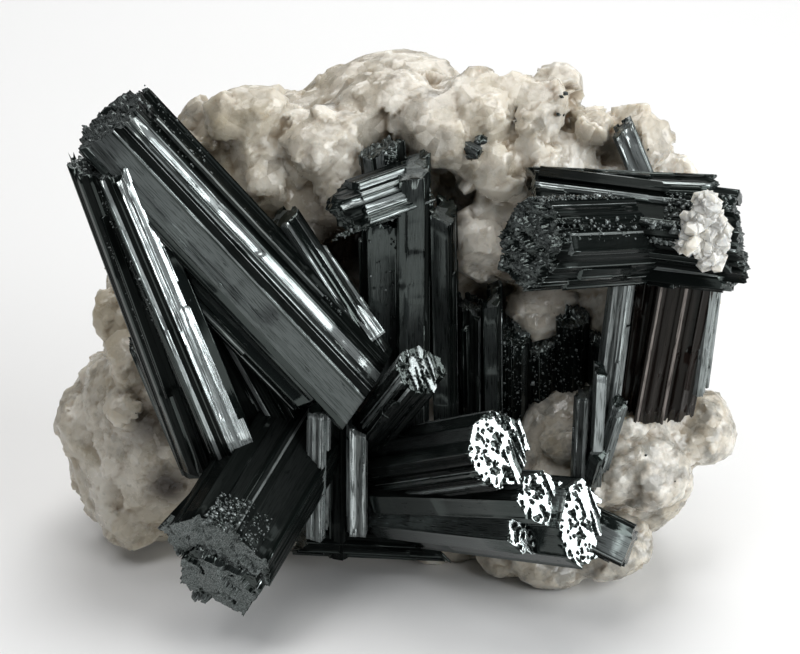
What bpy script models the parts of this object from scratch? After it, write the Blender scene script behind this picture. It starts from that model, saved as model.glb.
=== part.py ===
"""Manganite crystals on a piece of granular calcite matrix, a free-standing specimen.

Places and sizes in the tables below are millimetres, in the specimen's own frame: X to the
right, Y away from the side that the crystals grow on, Z up from the flat cut underside.
"""

import math
import random
from collections import namedtuple

import bmesh
import bpy
from mathutils import Euler, Vector

MM = 0.001
GAP = 0.3  # left between solids that touch
ORIGIN_X = -0.7  # the part's origin stands under the middle of the whole specimen
ORIGIN_Y = -0.8
FRONT = Vector((0.0, -0.9, 0.42))  # a crystal's front face turns this way, where it can
UP = Vector((0.0, 0.0, 1.0))
FACING = 0.85  # a crystal that points this much to the front has its front face up instead
SPECIMEN = "manganite_specimen"

# Sections of a crystal: (across, to the front) in half widths and half depths, clockwise.
RIDGED = [(-1, 0.1), (-0.75, 0.6), (0.15, 1), (0.55, 0.75), (1, -0.1), (0.7, -0.8), (-0.6, -0.85)]
FLAT = [(-1, 0.35), (-0.8, 0.85), (0.75, 1), (1, 0.5), (0.95, -0.6), (0.5, -1), (-0.7, -0.9)]
ROUNDED = [
    (-1, 0.05),
    (-0.85, 0.55),
    (-0.45, 0.9),
    (0.1, 1),
    (0.6, 0.8),
    (0.95, 0.35),
    (1, -0.2),
    (0.7, -0.75),
    (0.1, -1),
    (-0.6, -0.8),
]
LARGEST = [
    (-1, 0),
    (-0.95, 0.45),
    (-0.19, 0.85),
    (0.12, 1),
    (0.49, 0.8),
    (1, -0.1),
    (0.6, -0.85),
    (-0.6, -0.85),
]
LEFT_FACET = [(-1, 0.2), (-0.75, 0.75), (-0.3, 0.8), (0, 1), (0.9, 0.67), (1, -0.2), (0.6, -0.9), (-0.6, -0.9)]
KNOB = [(-1, 0), (-0.75, 0.9), (0.8, 0.42), (1, -0.3), (0.5, -0.9), (-0.6, -0.8)]
BROAD = [(-1, 0.1), (-0.7, 0.75), (0.2, 1), (0.8, 0.6), (1, -0.1), (0.7, -0.75), (0.1, -1), (-0.6, -0.85)]

Prism = namedtuple(
    "Prism",
    "root tip width depth section turn tip_lean root_lean grooves",
    defaults=(RIDGED, 0.0, (0.0, 0.0), (0.0, 0.0), 3),
)

# The large prism at the upper left, thin ones along its right side, and the long one left of it.
LEFT_SHEAF = [
    Prism((-3.2, -11.0, 24.2), (-27.2, -6.2, 50.5), 9.0, 7.0, LARGEST, 0, (0.05, 0.3), (0.25, 0.1), 5),
    Prism((-7.4, -9.4, 22.6), (-25.0, -5.0, 40.6), 6.6, 6.0, FLAT, -8, (0.1, 0.3), (-0.4, 0.2), 3),
    Prism((-2.4, -9.4, 27.0), (-11.3, -5.4, 40.1), 2.6, 3.4, FLAT, -28, (-0.4, 0.3), (0.2, 0), 2),
    Prism((-2.6, -9.0, 28.6), (-8.8, -5.8, 37.0), 2.4, 3.0, FLAT, -28, (0.5, 0.2), (0, 0), 2),
    Prism((-19.6, -8.4, 13.8), (-29.6, -6.8, 46.4), 4.0, 5.0, RIDGED, -12, (0.2, 0.4), (-0.7, 0), 3),
    Prism((-16.2, -10.2, 16.4), (-27.8, -7.8, 46.7), 4.2, 5.4, LEFT_FACET, 0, (-0.1, 0.3), (-0.4, 0.2), 3),
    Prism((-19.8, -6.8, 13.0), (-24.6, -6.0, 26.6), 4.0, 4.4, FLAT, -10, (0.5, 0.2), (-0.4, 0), 2),
    Prism((-9.6, -7.2, 15.8), (-17.6, -5.2, 31.0), 4.6, 4.4, RIDGED, 6, (0.2, 0.2), (0, 0), 2),
    Prism((-13.2, -6.6, 14.6), (-20.6, -5.0, 30.6), 3.8, 4.0, FLAT, -8, (0.3, 0.2), (0, 0), 2),
]

LOWER_LEFT_STUB = [
    Prism((-8.0, -1.8, 17.2), (-17.4, -20.4, 10.9), 11.6, 8.8, BROAD, 8, (0.03, 0.1), (0, 0), 4),
    Prism((-11.5, -7.5, 12.8), (-17.6, -20.6, 7.6), 8.4, 6.0, FLAT, -15, (0, 0.15), (0, 0), 2),
    Prism((-12.4, -6.5, 16.0), (-20.6, -18.6, 11.8), 6.0, 5.6, RIDGED, 25, (0, 0.2), (0, 0), 2),
]

FRONT_PRISMS = [
    Prism((-8.3, -5.6, 2.6), (-8.0, -8.6, 22.6), 2.2, 3.6, FLAT, 12, (-0.2, 0.3), (0, 0), 2),
    Prism((-6.3, -4.6, 2.6), (-6.2, -6.4, 20.6), 2.8, 3.4, RIDGED, -10, (0.3, 0), (0, 0), 1),
    Prism((-4.4, -5.2, 3.0), (-4.3, -7.8, 19.4), 2.1, 3.4, FLAT, -6, (0.3, 0.2), (0, 0), 2),
    Prism((3.4, -3.4, 3.2), (-10.6, -3.2, 3.6), 3.0, 5.4, ROUNDED, 20, (0.3, 0.2), (0.4, -0.2), 1),
]

CENTRAL_SHEAF = [
    Prism((1.3, -4.6, 17.0), (1.3, -7.2, 46.0), 3.2, 5.4, FLAT, 4, (-0.3, 0.1), (0, 0), 3),
    Prism((-1.8, -3.8, 17.0), (-2.0, -6.2, 41.6), 3.8, 4.8, FLAT, -10, (-0.2, 0.4), (0, 0), 3),
    Prism((4.7, -3.8, 17.4), (4.1, -6.2, 41.2), 2.4, 4.0, FLAT, 14, (0.5, 0.2), (0, 0), 2),
    Prism((1.6, -5.6, 43.3), (-6.4, -12.4, 43.2), 4.4, 4.2, KNOB, 10, (0.35, -0.25), (0, 0), 2),
    Prism((-1.2, -2.6, 40.0), (-1.8, -3.6, 46.8), 4.6, 3.6, ROUNDED, 0, (-0.3, -0.2), (0, 0), 1),
]

INNER_DRUSE = [
    Prism((7.2, -2.0, 15.0), (6.9, -4.0, 30.4), 3.0, 4.0, RIDGED, -12, (0.2, 0.2), (0, 0), 2),
    Prism((9.4, -2.6, 16.0), (9.0, -4.8, 31.6), 1.9, 3.6, FLAT, 8, (-0.4, 0.3), (0, 0), 1),
    Prism((11.6, -1.2, 15.4), (11.4, -3.2, 27.2), 3.2, 3.8, ROUNDED, 14, (0.3, 0.3), (0, 0), 1),
    Prism((14.4, -0.6, 15.4), (14.0, -2.4, 25.8), 3.4, 3.4, ROUNDED, -14, (-0.3, 0.3), (0, 0), 1),
    Prism((17.3, -1.2, 15.4), (17.0, -2.6, 28.6), 3.6, 3.6, ROUNDED, 6, (0.3, 0.3), (0, 0), 1),
    Prism((20.2, -1.8, 15.0), (19.8, -2.2, 26.8), 3.2, 3.4, ROUNDED, -20, (-0.2, 0.3), (0, 0), 1),
]

FACING_STUB = [
    Prism((-3.6, -2.2, 14.2), (2.0, -17.2, 29.4), 5.2, 4.6, BROAD, 20, (-0.12, -0.07), (0, 0), 3),
]

LOWER_RIGHT_SHEAF = [
    Prism((-1.6, -2.0, 10.9), (9.4, -20.4, 22.6), 7.0, 7.6, BROAD, 15, (0, 0.03), (0, 0), 4),
    Prism((-2.6, -3.0, 8.5), (13.8, -20.4, 17.4), 5.4, 6.4, BROAD, 10, (-0.09, 0.22), (0, 0), 3),
    Prism((-1.6, -3.4, 6.4), (12.8, -19.8, 13.8), 5.2, 6.4, BROAD, -10, (-0.18, 0.15), (0, 0), 3),
    Prism((0.6, -3.2, 7.4), (17.2, -21.6, 15.4), 8.6, 5.0, BROAD, 8, (-0.13, 0.22), (0, 0), 3),
    Prism((3.2, -7.0, 15.6), (22.8, -13.4, 8.2), 4.4, 5.0, FLAT, 0, (-0.1, 0.1), (0, 0), 2),
]

UPPER_RIGHT_SHEAF = [
    Prism((12.4, -7.4, 41.4), (32.6, -11.0, 40.2), 8.8, 7.4, RIDGED, 14, (0.2, 0.1), (0.1, 0.2), 5),
    Prism((12.8, -5.8, 43.0), (29.6, -8.6, 43.4), 4.4, 4.6, FLAT, 24, (0.3, 0), (0.5, 0.2), 3),
    Prism((18.0, -8.6, 37.8), (31.4, -10.6, 37.0), 4.6, 5.6, FLAT, -12, (-0.3, 0.2), (0, 0), 2),
    Prism((23.6, -8.4, 39.0), (11.6, -18.2, 42.6), 8.6, 7.0, ROUNDED, 10, (0.15, 0.25), (0, 0), 4),
    Prism((27.4, -8.2, 38.0), (25.5, -5.8, 19.8), 7.2, 5.4, FLAT, 184, (0.1, 0.2), (0, 0), 5),
    Prism((30.0, -8.6, 38.0), (29.2, -6.8, 22.4), 2.0, 3.4, FLAT, 160, (-0.4, 0), (0, 0), 1),
    Prism((21.6, -8.4, 38.0), (20.1, -7.6, 19.8), 2.6, 3.6, RIDGED, 176, (0.2, 0.2), (0, 0), 2),
    Prism((24.0, -6.6, 38.0), (22.5, -5.6, 19.8), 3.0, 3.4, FLAT, 190, (0, 0.2), (0, 0), 1),
]

RIGHT_BUNDLE = [
    Prism((17.8, -9.0, 13.4), (17.8, -10.6, 23.8), 1.9, 2.4, RIDGED, 6, (-0.3, 0.3), (0, 0), 1),
    Prism((19.2, -9.2, 13.2), (19.2, -11.8, 27.0), 1.3, 2.0, FLAT, -8, (0.4, 0.2), (0, 0), 0),
    Prism((19.8, -9.0, 14.6), (21.3, -11.2, 23.0), 1.7, 2.0, RIDGED, 14, (0.3, 0.3), (0, 0), 1),
    Prism((18.8, -8.6, 12.4), (19.6, -10.8, 17.6), 1.7, 2.2, FLAT, 30, (0.2, 0.4), (0, 0), 0),
]

TOP_PRISM = [
    Prism((24.0, -2.6, 41.6), (21.3, -1.4, 47.8), 2.4, 2.6, RIDGED, 8, (-0.3, 0.3), (0, 0), 1),
]

# Lumps of stone: centre and half sizes. The mass of the matrix first, then its largest grains.
MATRIX_MASS = [
    (2.0, 9.5, 38.5, 15.5, 10.5, 12.5),
    (-13.0, 7.0, 36.0, 11.5, 10.5, 12.5),
    (14.8, 6.8, 38.0, 11.2, 10.5, 11.0),
    (-24.6, 6.0, 11.5, 10.2, 10.5, 12.5),
    (-22.6, 6.0, 26.0, 7.6, 9.5, 10.0),
    (-11.0, 4.0, 24.0, 10.0, 9.0, 10.0),
    (20.0, 2.5, 11.0, 11.2, 11.5, 11.5),
    (24.5, 5.6, 27.0, 8.0, 9.8, 13.0),
    (-2.0, 4.5, 10.0, 13.0, 8.5, 10.0),
    (0.0, 11.5, 18.0, 26.0, 10.0, 19.0),
    (0.0, 8.0, 4.0, 28.0, 11.0, 6.0),
]
MATRIX_GRAINS = [
    (-14.8, 0.0, 47.8, 4.8, 3.6, 2.8),
    (-13.1, 0.0, 43.0, 3.6, 3.6, 5.4),
    (-19.0, 1.5, 45.4, 3.6, 3.6, 3.6),
    (-6.6, -1.4, 42.8, 3.4, 3.4, 6.6),
    (0.4, 2.0, 47.5, 7.4, 4.6, 4.5),
    (-5.0, 3.0, 47.6, 4.0, 4.0, 2.8),
    (4.6, -2.6, 46.6, 2.2, 2.6, 2.6),
    (7.9, -0.2, 48.2, 3.2, 3.0, 3.2),
    (9.1, -2.2, 43.4, 4.0, 2.6, 2.8),
    (7.7, -2.6, 36.4, 3.0, 3.0, 4.6),
    (4.6, 2.6, 49.0, 3.4, 3.6, 2.8),
    (11.2, 1.6, 49.6, 2.4, 2.6, 2.6),
    (14.0, 0.0, 49.2, 2.6, 2.8, 2.6),
    (15.4, 3.4, 49.6, 2.8, 2.6, 2.6),
    (18.4, 0.6, 46.4, 2.4, 2.6, 2.4),
    (12.5, -1.6, 46.2, 2.4, 2.4, 2.2),
    (22.9, 2.0, 43.8, 3.8, 4.0, 3.8),
    (26.2, 3.4, 39.4, 2.6, 3.4, 4.2),
    (13.9, -0.6, 28.0, 3.6, 2.8, 3.0),
    (-27.6, -1.4, 3.6, 3.4, 3.0, 2.4),
    (-30.4, 1.0, 6.4, 3.2, 4.0, 4.2),
    (-26.2, -1.0, 21.6, 2.4, 2.6, 3.2),
    (-33.0, 4.0, 12.6, 2.8, 4.0, 4.0),
    (-28.4, 4.0, 25.0, 2.4, 3.6, 4.2),
    (-29.0, 0.0, 10.6, 3.8, 3.4, 3.8),
    (-26.8, 5.0, 31.4, 2.4, 3.4, 3.0),
    (30.4, 0.0, 15.2, 4.0, 5.0, 3.8),
    (24.6, -6.4, 12.6, 4.6, 3.2, 4.0),
    (21.0, -7.0, 4.4, 4.8, 3.4, 4.0),
    (15.0, -6.2, 2.6, 4.4, 3.4, 3.0),
    (11.0, -4.6, 2.4, 4.4, 3.4, 2.6),
]
MATRIX_VOXEL = 0.8
MATRIX_TRIANGLES = 4100
SMALL_GRAINS = 200
SMALL_GRAIN_SIZE = (1.8, 4.4)
SINK = 0.86
EDGE_ROOM = 0.8  # how far a grain keeps inside the outline, times its half size

# Outline of the stone as seen from the front and above: to the right, and up the view (mm).
VIEW_TILT = math.radians(25)
VIEW_HEIGHT = 25.8
OUTLINE = [
    (-27, -30), (-27, -20), (-29.6, -17.5), (-30, -14), (-32.2, -9.5), (-30.8, -7), (-28.6, -4.5),
    (-29.4, -1), (-27.4, 5), (-28, 8), (-24, 16), (-20.2, 20.2), (-16.5, 22.3), (-11, 22.2), (-5, 23),
    (-3.4, 24.5), (3.6, 25), (8, 23.6), (12.8, 23.6), (14.7, 24.7), (18.3, 20.8), (22, 20.4),
    (25.7, 17.3), (28, 13), (29, 0), (31, -7), (31, -10), (26.6, -14), (25.6, -18), (21, -23), (20, -30),
]  # a small grain's middle, as a share of the way out to the surface

TUFT_GRAINS = [
    (28.6, -13.2, 42.6, 2.2, 1.3, 2.4),
    (27.6, -13.4, 40.4, 1.6, 1.2, 1.4),
    (29.6, -13.4, 39.0, 1.8, 1.3, 1.9),
    (30.4, -13.2, 41.4, 1.4, 1.2, 1.6),
    (29.0, -13.0, 45.0, 1.3, 1.2, 1.1),
]
TUFT_VOXEL = 0.3
TUFT_TRIANGLES = 420


def place(point):
    """A point of the tables, in metres about the part's origin."""
    return Vector((point[0] - ORIGIN_X, point[1] - ORIGIN_Y, point[2])) * MM


def clear_scene():
    for obj in list(bpy.data.objects):
        bpy.data.objects.remove(obj)


def new_collection(name):
    collection = bpy.data.collections.new(name)
    bpy.context.scene.collection.children.link(collection)
    return collection


def new_material(name, colour, roughness, metallic):
    material = bpy.data.materials.new(name)
    material.use_nodes = True
    shader = material.node_tree.nodes["Principled BSDF"]
    shader.inputs["Base Color"].default_value = (*colour, 1.0)
    shader.inputs["Roughness"].default_value = roughness
    shader.inputs["Metallic"].default_value = metallic
    return material


def new_object(name, mesh, collection):
    """An object that holds a bmesh, which it frees."""
    data = bpy.data.meshes.new(name)
    mesh.to_mesh(data)
    mesh.free()
    obj = bpy.data.objects.new(name, data)
    collection.objects.link(obj)
    return obj


def apply_modifiers(obj):
    bpy.context.view_layer.update()
    graph = bpy.context.evaluated_depsgraph_get()
    data = bpy.data.meshes.new_from_object(obj.evaluated_get(graph))
    obj.modifiers.clear()
    obj.data = data


def boolean(obj, other, operation):
    modifier = obj.modifiers.new(operation.lower(), "BOOLEAN")
    modifier.operation = operation
    modifier.solver = "EXACT"
    modifier.object = other
    apply_modifiers(obj)


def keep_largest_body(obj):
    """Drops the loose scraps that a cut leaves."""
    mesh = bmesh.new()
    mesh.from_mesh(obj.data)
    left = set(mesh.verts)
    bodies = []
    while left:
        body = {left.pop()}
        edge_of_body = list(body)
        while edge_of_body:
            corner = edge_of_body.pop()
            for edge in corner.link_edges:
                other = edge.other_vert(corner)
                if other not in body:
                    body.add(other)
                    edge_of_body.append(other)
        left -= body
        bodies.append(body)
    largest = max(bodies, key=len)
    scraps = [corner for corner in mesh.verts if corner not in largest]
    bmesh.ops.delete(mesh, geom=scraps, context="VERTS")
    mesh.to_mesh(obj.data)
    mesh.free()


# Crystals


def grooved(section, grooves, draw):
    """The section with lengthwise grooves cut into some of its sides."""
    sides = draw.sample(range(len(section)), min(grooves, len(section)))
    outline = []
    for index, corner in enumerate(section):
        start = Vector(corner)
        end = Vector(section[(index + 1) % len(section)])
        outline.append(start)
        if index not in sides:
            continue
        near = draw.uniform(0.15, 0.4)
        far = near + draw.uniform(0.2, 0.4)
        depth = draw.uniform(0.06, 0.12)
        for share, inset in ((near, 0), (near, depth), (far, depth), (far, 0)):
            outline.append(start.lerp(end, share) * (1 - inset))
    return outline


def prism_axes(prism):
    """Directions along the prism, across its front face, and out of that face."""
    along = (Vector(prism.tip) - Vector(prism.root)).normalized()
    out = FRONT.normalized()
    if abs(along.dot(out)) > FACING:
        out = UP
    out = (out - along * out.dot(along)).normalized()
    across = along.cross(out)
    turn = math.radians(prism.turn)
    return (
        along,
        across * math.cos(turn) + out * math.sin(turn),
        out * math.cos(turn) - across * math.sin(turn),
    )


def prism_mesh(prism, outline, grow):
    """The section swept along the prism, and cut at both ends by a leaning plane."""
    along, across, out = prism_axes(prism)
    half_width = prism.width / 2 + grow
    half_depth = prism.depth / 2 + grow
    spare = prism.width + prism.depth
    start = Vector(prism.root) - along * spare
    reach = (Vector(prism.tip) - Vector(prism.root)).length + 2 * spare
    mesh = bmesh.new()
    ring = []
    for x, y in outline:
        ring.append(mesh.verts.new(place(start + across * x * half_width + out * y * half_depth)))
    face = mesh.faces.new(ring)
    swept = bmesh.ops.extrude_face_region(mesh, geom=[face])
    moved = [item for item in swept["geom"] if isinstance(item, bmesh.types.BMVert)]
    bmesh.ops.translate(mesh, verts=moved, vec=along * reach * MM)
    ends = (
        (Vector(prism.root), -along, prism.root_lean),
        (Vector(prism.tip), along, prism.tip_lean),
    )
    for point, outward, lean in ends:
        cut = bmesh.ops.bisect_plane(
            mesh,
            geom=mesh.verts[:] + mesh.edges[:] + mesh.faces[:],
            plane_co=place(point + outward * grow),
            plane_no=outward + across * lean[0] + out * lean[1],
            clear_outer=True,
        )
        rim = [item for item in cut["geom_cut"] if isinstance(item, bmesh.types.BMEdge)]
        bmesh.ops.edgeloop_fill(mesh, edges=rim)
    bmesh.ops.recalc_face_normals(mesh, faces=mesh.faces)
    return mesh


def grown_together(name, prisms, collection, grow=0.0):
    """One solid of prisms that overlap. The room round them is larger, and has no grooves."""
    draw = random.Random(name)
    whole = None
    for prism in prisms:
        outline = prism.section if grow else grooved(prism.section, prism.grooves, draw)
        solid = new_object(name, prism_mesh(prism, outline, grow), collection)
        if whole is None:
            whole = solid
            continue
        boolean(whole, solid, "UNION")
        bpy.data.objects.remove(solid)
    return whole


def make_crystals(parts, cutters, material):
    """Each group of crystals as a node, cut by those before it. Returns what cuts the stone."""
    groups = {
        "left_sheaf": LEFT_SHEAF,
        "lower_left_stub": LOWER_LEFT_STUB,
        "lower_right_sheaf": LOWER_RIGHT_SHEAF,
        "facing_stub": FACING_STUB,
        "front_prisms": FRONT_PRISMS,
        "central_sheaf": CENTRAL_SHEAF,
        "inner_druse": INNER_DRUSE,
        "upper_right_sheaf": UPPER_RIGHT_SHEAF,
        "right_bundle": RIGHT_BUNDLE,
        "top_prism": TOP_PRISM,
    }
    rooms = []
    for name, prisms in groups.items():
        node = grown_together(name, prisms, parts)
        node.data.materials.clear()
        node.data.materials.append(material)
        for room in rooms:
            boolean(node, room, "DIFFERENCE")
        keep_largest_body(node)
        room = grown_together(name, prisms, cutters, GAP)
        room.name = name + "_room"
        room.hide_render = True
        room.display_type = "WIRE"
        rooms.append(room)
    return rooms


# Stone


def add_stone(mesh, lump, facets, draw):
    """A lump with flat faces: a sphere pressed against a few planes round it."""
    x, y, z, *half = lump
    made = bmesh.ops.create_icosphere(mesh, subdivisions=3, radius=1.0)
    corners = made["verts"]
    for _ in range(facets):
        aim = Vector((draw.gauss(0, 1), draw.gauss(0, 1), draw.gauss(0, 1))).normalized()
        limit = draw.uniform(0.62, 0.9)
        for corner in corners:
            past = corner.co.dot(aim) - limit
            if past > 0:
                corner.co -= aim * past
    tilt = Euler([draw.uniform(-0.25, 0.25) for _ in range(3)]).to_matrix()
    centre = place((x, y, z))
    for corner in corners:
        stretched = Vector([a * b for a, b in zip(corner.co, half)])
        corner.co = centre + tilt @ stretched * MM


def crystal_hollow(point):
    """Whether a grain there would stand in front of the crystals."""
    x, y, z = point
    return y < 1 and (-21 < x < 12 and 3 < z < 42 or 10 < x < 30 and 18 < z < 42)


def within_outline(point, room):
    """Whether a place keeps so much room inside the stone's outline."""
    x, y, z = point
    up = (z - VIEW_HEIGHT) * math.cos(VIEW_TILT) + y * math.sin(VIEW_TILT)
    inside = False
    for (x1, u1), (x2, u2) in zip(OUTLINE, OUTLINE[1:] + OUTLINE[:1]):
        share = ((x - x1) * (x2 - x1) + (up - u1) * (u2 - u1)) / ((x2 - x1) ** 2 + (u2 - u1) ** 2)
        share = max(0, min(1, share))
        if math.hypot(x1 + share * (x2 - x1) - x, u1 + share * (u2 - u1) - up) < room:
            return False
        if (u1 > up) != (u2 > up) and x < x1 + (up - u1) / (u2 - u1) * (x2 - x1):
            inside = not inside
    return inside


def scatter_grains(masses, count, draw):
    """Small grains over the surface of the masses."""
    grains = []
    areas = [a * c for _, _, _, a, _, c in masses]
    while len(grains) < count:
        x, y, z, a, b, c = draw.choices(masses, areas)[0]
        aim = Vector((draw.gauss(0, 1), draw.gauss(0, 1), draw.gauss(0, 1))).normalized()
        point = (x + aim.x * a * SINK, y + aim.y * b * SINK, z + aim.z * c * SINK)
        size = [draw.uniform(*SMALL_GRAIN_SIZE) for _ in range(3)]
        kept = within_outline(point, EDGE_ROOM * max(size[0], size[2]))
        if kept and point[2] > 1 and not crystal_hollow(point):
            grains.append((*point, *size))
    return grains


def fused_stone(name, lumps, voxel, triangles, collection, draw):
    """Lumps of stone as one closed solid of about so many triangles."""
    mesh = bmesh.new()
    for lump in lumps:
        add_stone(mesh, lump, 9, draw)
    stone = new_object(name, mesh, collection)
    fuse = stone.modifiers.new("fuse", "REMESH")
    fuse.mode = "VOXEL"
    fuse.voxel_size = voxel * MM
    apply_modifiers(stone)
    keep_largest_body(stone)
    stone.data.calc_loop_triangles()
    thin = stone.modifiers.new("thin", "DECIMATE")
    thin.ratio = triangles / len(stone.data.loop_triangles)
    apply_modifiers(stone)
    return stone


def cut_flat_underside(stone):
    mesh = bmesh.new()
    mesh.from_mesh(stone.data)
    cut = bmesh.ops.bisect_plane(
        mesh,
        geom=mesh.verts[:] + mesh.edges[:] + mesh.faces[:],
        plane_co=(0, 0, 0),
        plane_no=(0, 0, -1),
        clear_outer=True,
    )
    rim = [item for item in cut["geom_cut"] if isinstance(item, bmesh.types.BMEdge)]
    bmesh.ops.edgeloop_fill(mesh, edges=rim)
    bmesh.ops.recalc_face_normals(mesh, faces=mesh.faces)
    mesh.to_mesh(stone.data)
    mesh.free()


def make_matrix(parts, rooms, material):
    draw = random.Random("matrix")
    lumps = MATRIX_MASS + MATRIX_GRAINS
    lumps += scatter_grains(MATRIX_MASS, SMALL_GRAINS, draw)
    matrix = fused_stone("matrix", lumps, MATRIX_VOXEL, MATRIX_TRIANGLES, parts, draw)
    cut_flat_underside(matrix)
    for room in rooms:
        boolean(matrix, room, "DIFFERENCE")
    keep_largest_body(matrix)
    matrix.data.materials.clear()
    matrix.data.materials.append(material)


def make_tuft(parts, rooms, material):
    draw = random.Random("tuft")
    tuft = fused_stone("calcite_tuft", TUFT_GRAINS, TUFT_VOXEL, TUFT_TRIANGLES, parts, draw)
    for room in rooms:
        boolean(tuft, room, "DIFFERENCE")
    keep_largest_body(tuft)
    tuft.data.materials.clear()
    tuft.data.materials.append(material)


def main():
    clear_scene()
    parts = new_collection(SPECIMEN)
    cutters = new_collection("cutters")
    cutters.hide_render = True
    manganite = new_material("manganite", (0.02, 0.021, 0.023), 0.22, 0.55)
    calcite = new_material("calcite", (0.68, 0.64, 0.58), 0.5, 0.0)
    rooms = make_crystals(parts, cutters, manganite)
    make_matrix(parts, rooms, calcite)
    make_tuft(parts, rooms, calcite)


main()
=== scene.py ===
"""Manganite crystals on granular calcite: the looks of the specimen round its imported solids.

Places and sizes in the tables are millimetres in the specimen's own frame: X to the right,
Y away from the side that the crystals grow on, Z up from the flat cut underside.
"""

import math
import random
from collections import namedtuple
from itertools import product

import bmesh
import bpy
import numpy as np
from mathutils import Euler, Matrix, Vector
from mathutils.geometry import delaunay_2d_cdt
from mathutils.kdtree import KDTree


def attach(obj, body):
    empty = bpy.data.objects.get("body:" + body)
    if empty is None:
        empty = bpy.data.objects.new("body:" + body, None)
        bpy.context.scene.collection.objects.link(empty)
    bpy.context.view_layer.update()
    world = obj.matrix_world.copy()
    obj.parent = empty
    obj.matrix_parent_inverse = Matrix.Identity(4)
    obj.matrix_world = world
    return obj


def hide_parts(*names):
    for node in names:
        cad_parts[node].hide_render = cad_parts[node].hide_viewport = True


MM = 0.001
ORIGIN_X = -0.7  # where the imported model's origin is in the tables' frame
ORIGIN_Y = -0.8
FRONT = Vector((0.0, -0.9, 0.42))  # a section's front faces this way
UP = Vector((0.0, 0.0, 1.0))
FACING = 0.85  # a prism that points this much to the front has its own front upwards


def section(corners, kinds):
    """Corners of a crystal's section, each with what the side that starts there is like."""
    return [(*corner, kind) for corner, kind in zip(corners, kinds)]


# Corners are (across, to the front) in half widths and half depths, clockwise.
RIDGE = [(-1, 0.1), (-0.75, 0.6), (0.15, 1), (0.55, 0.75), (1, -0.1), (0.7, -0.8), (-0.6, -0.85)]
SLAB = [(-1, 0.35), (-0.8, 0.85), (0.75, 1), (1, 0.5), (0.95, -0.6), (0.5, -1), (-0.7, -0.9)]
THICK = [(-1, 0.1), (-0.7, 0.75), (0.2, 1), (0.8, 0.6), (1, -0.1), (0.7, -0.75), (0.1, -1), (-0.6, -0.85)]
ROUND = [(-1, 0.05), (-0.85, 0.55), (-0.45, 0.9), (0.1, 1), (0.6, 0.8), (0.95, 0.35), (1, -0.2)]
ROUND += [(0.7, -0.75), (0.1, -1), (-0.6, -0.8)]
RIDGED = section(RIDGE, "fffcccc")
SHADED = section(RIDGE, "kkkkkcc")
UPPER = section(RIDGE, "ffkkkcc")
FLAT = section(SLAB, "fpfcccc")
BRIGHT_FLAT = section(SLAB, "fbbcccc")
SHADED_FLAT = section(SLAB, "kdkkccc")
BROAD = section(THICK, "ppppfccc")
# A thick section with dull sides: partly dull lustre, partly painted shade.
DULL_AND_SHADED = section(THICK, "ddddkccc")
ROUNDED = section(ROUND, "fpfpffcccc")
ROUGH_ROUND = section(ROUND, "kkkkkkkccc")
THIN = section([(-1, 0.2), (-0.5, 1), (0.6, 0.9), (1, 0), (0.5, -0.9), (-0.6, -0.9)], "ffpfff")
KNOB = section([(-1, 0), (-0.75, 0.9), (0.8, 0.42), (1, -0.3), (0.5, -0.9), (-0.6, -0.8)], "fbfccc")
LARGEST = section(
    [(-1, 0), (-0.95, 0.45), (-0.19, 0.85), (0.12, 1), (0.49, 0.8), (1, -0.1), (0.6, -0.85), (-0.6, -0.85)],
    "cafbkccc",
)
LEFT_FACET = section(
    [(-1, 0.2), (-0.75, 0.75), (-0.3, 0.8), (-0.1, 1), (0.95, 0.62), (1, -0.2), (0.6, -0.9), (-0.6, -0.9)],
    "kfkwcccc",
)
DARK_SECTIONS = (DULL_AND_SHADED, SHADED, SHADED_FLAT, ROUGH_ROUND, UPPER)

# What the sides are like: mean width and depth of a stria (mm), slope of its tilt, the shares of the striae
# that are dull, partly dull lustre and partly painted shade, and that are bright, and how mirror-like the
# bright ones are.
SIDES = {
    "p": (1.3, 0.03, 0.04, 0.1, 0.15, 0.25),  # plain
    "a": (0.9, 0.03, 0.04, 0.05, 0.5, 0.1),  # even
    "f": (0.3, 0.06, 0.24, 0.68, 0.14, 0.6),  # fine
    "b": (0.24, 0.04, 0.1, 0.15, 0.6, 0.52),  # bright
    "w": (0.26, 0.02, 0.05, 0.04, 1.3, 0.8),  # whitish
    "c": (0.4, 0.2, 0.4, 0.7, 0.06, 0.5),  # coarse
    "d": (0.8, 0.06, 0.1, 1.0, 0.05, 0.3),  # dull and shaded
    "k": (0.3, 0.1, 0.3, 0.94, 0.06, 0.4),  # dark
}
NARROW = 0.8  # a stria narrower than this share of the mean is bright more often
NARROW_ODDS, WIDE_ODDS = 1.5, 0.7  # how often, times the share above

RED, SHADOW = 1, 2  # kinds of surface besides the plain one: red-brown, and a darker, less glossy copy for dull striae, partly dull lustre and partly painted shade

# A crystal: root and tip are the middles of its ends, turn is about its length, in degrees, and
# the leans are how far each end slants across and to the front.
# end: what the free end is like; coarse: how deep and wide its striae are, times those above;
# side: how many thin crystals grow along it; lustre: how mirror-like its faces are;
# way: direction of the slats on its end, in degrees.
Prism = namedtuple(
    "Prism",
    "root tip width depth section turn tip_lean root_lean end coarse side lustre kind way",
    defaults=(RIDGED, 0.0, (0.0, 0.0), (0.0, 0.0), "rough", 1.0, 4, 0.0, 0, 0.0),
)


def blunt(*row, **looks):
    """A crystal with an even free end."""
    return Prism(*row, end="flat", **looks)


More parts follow.
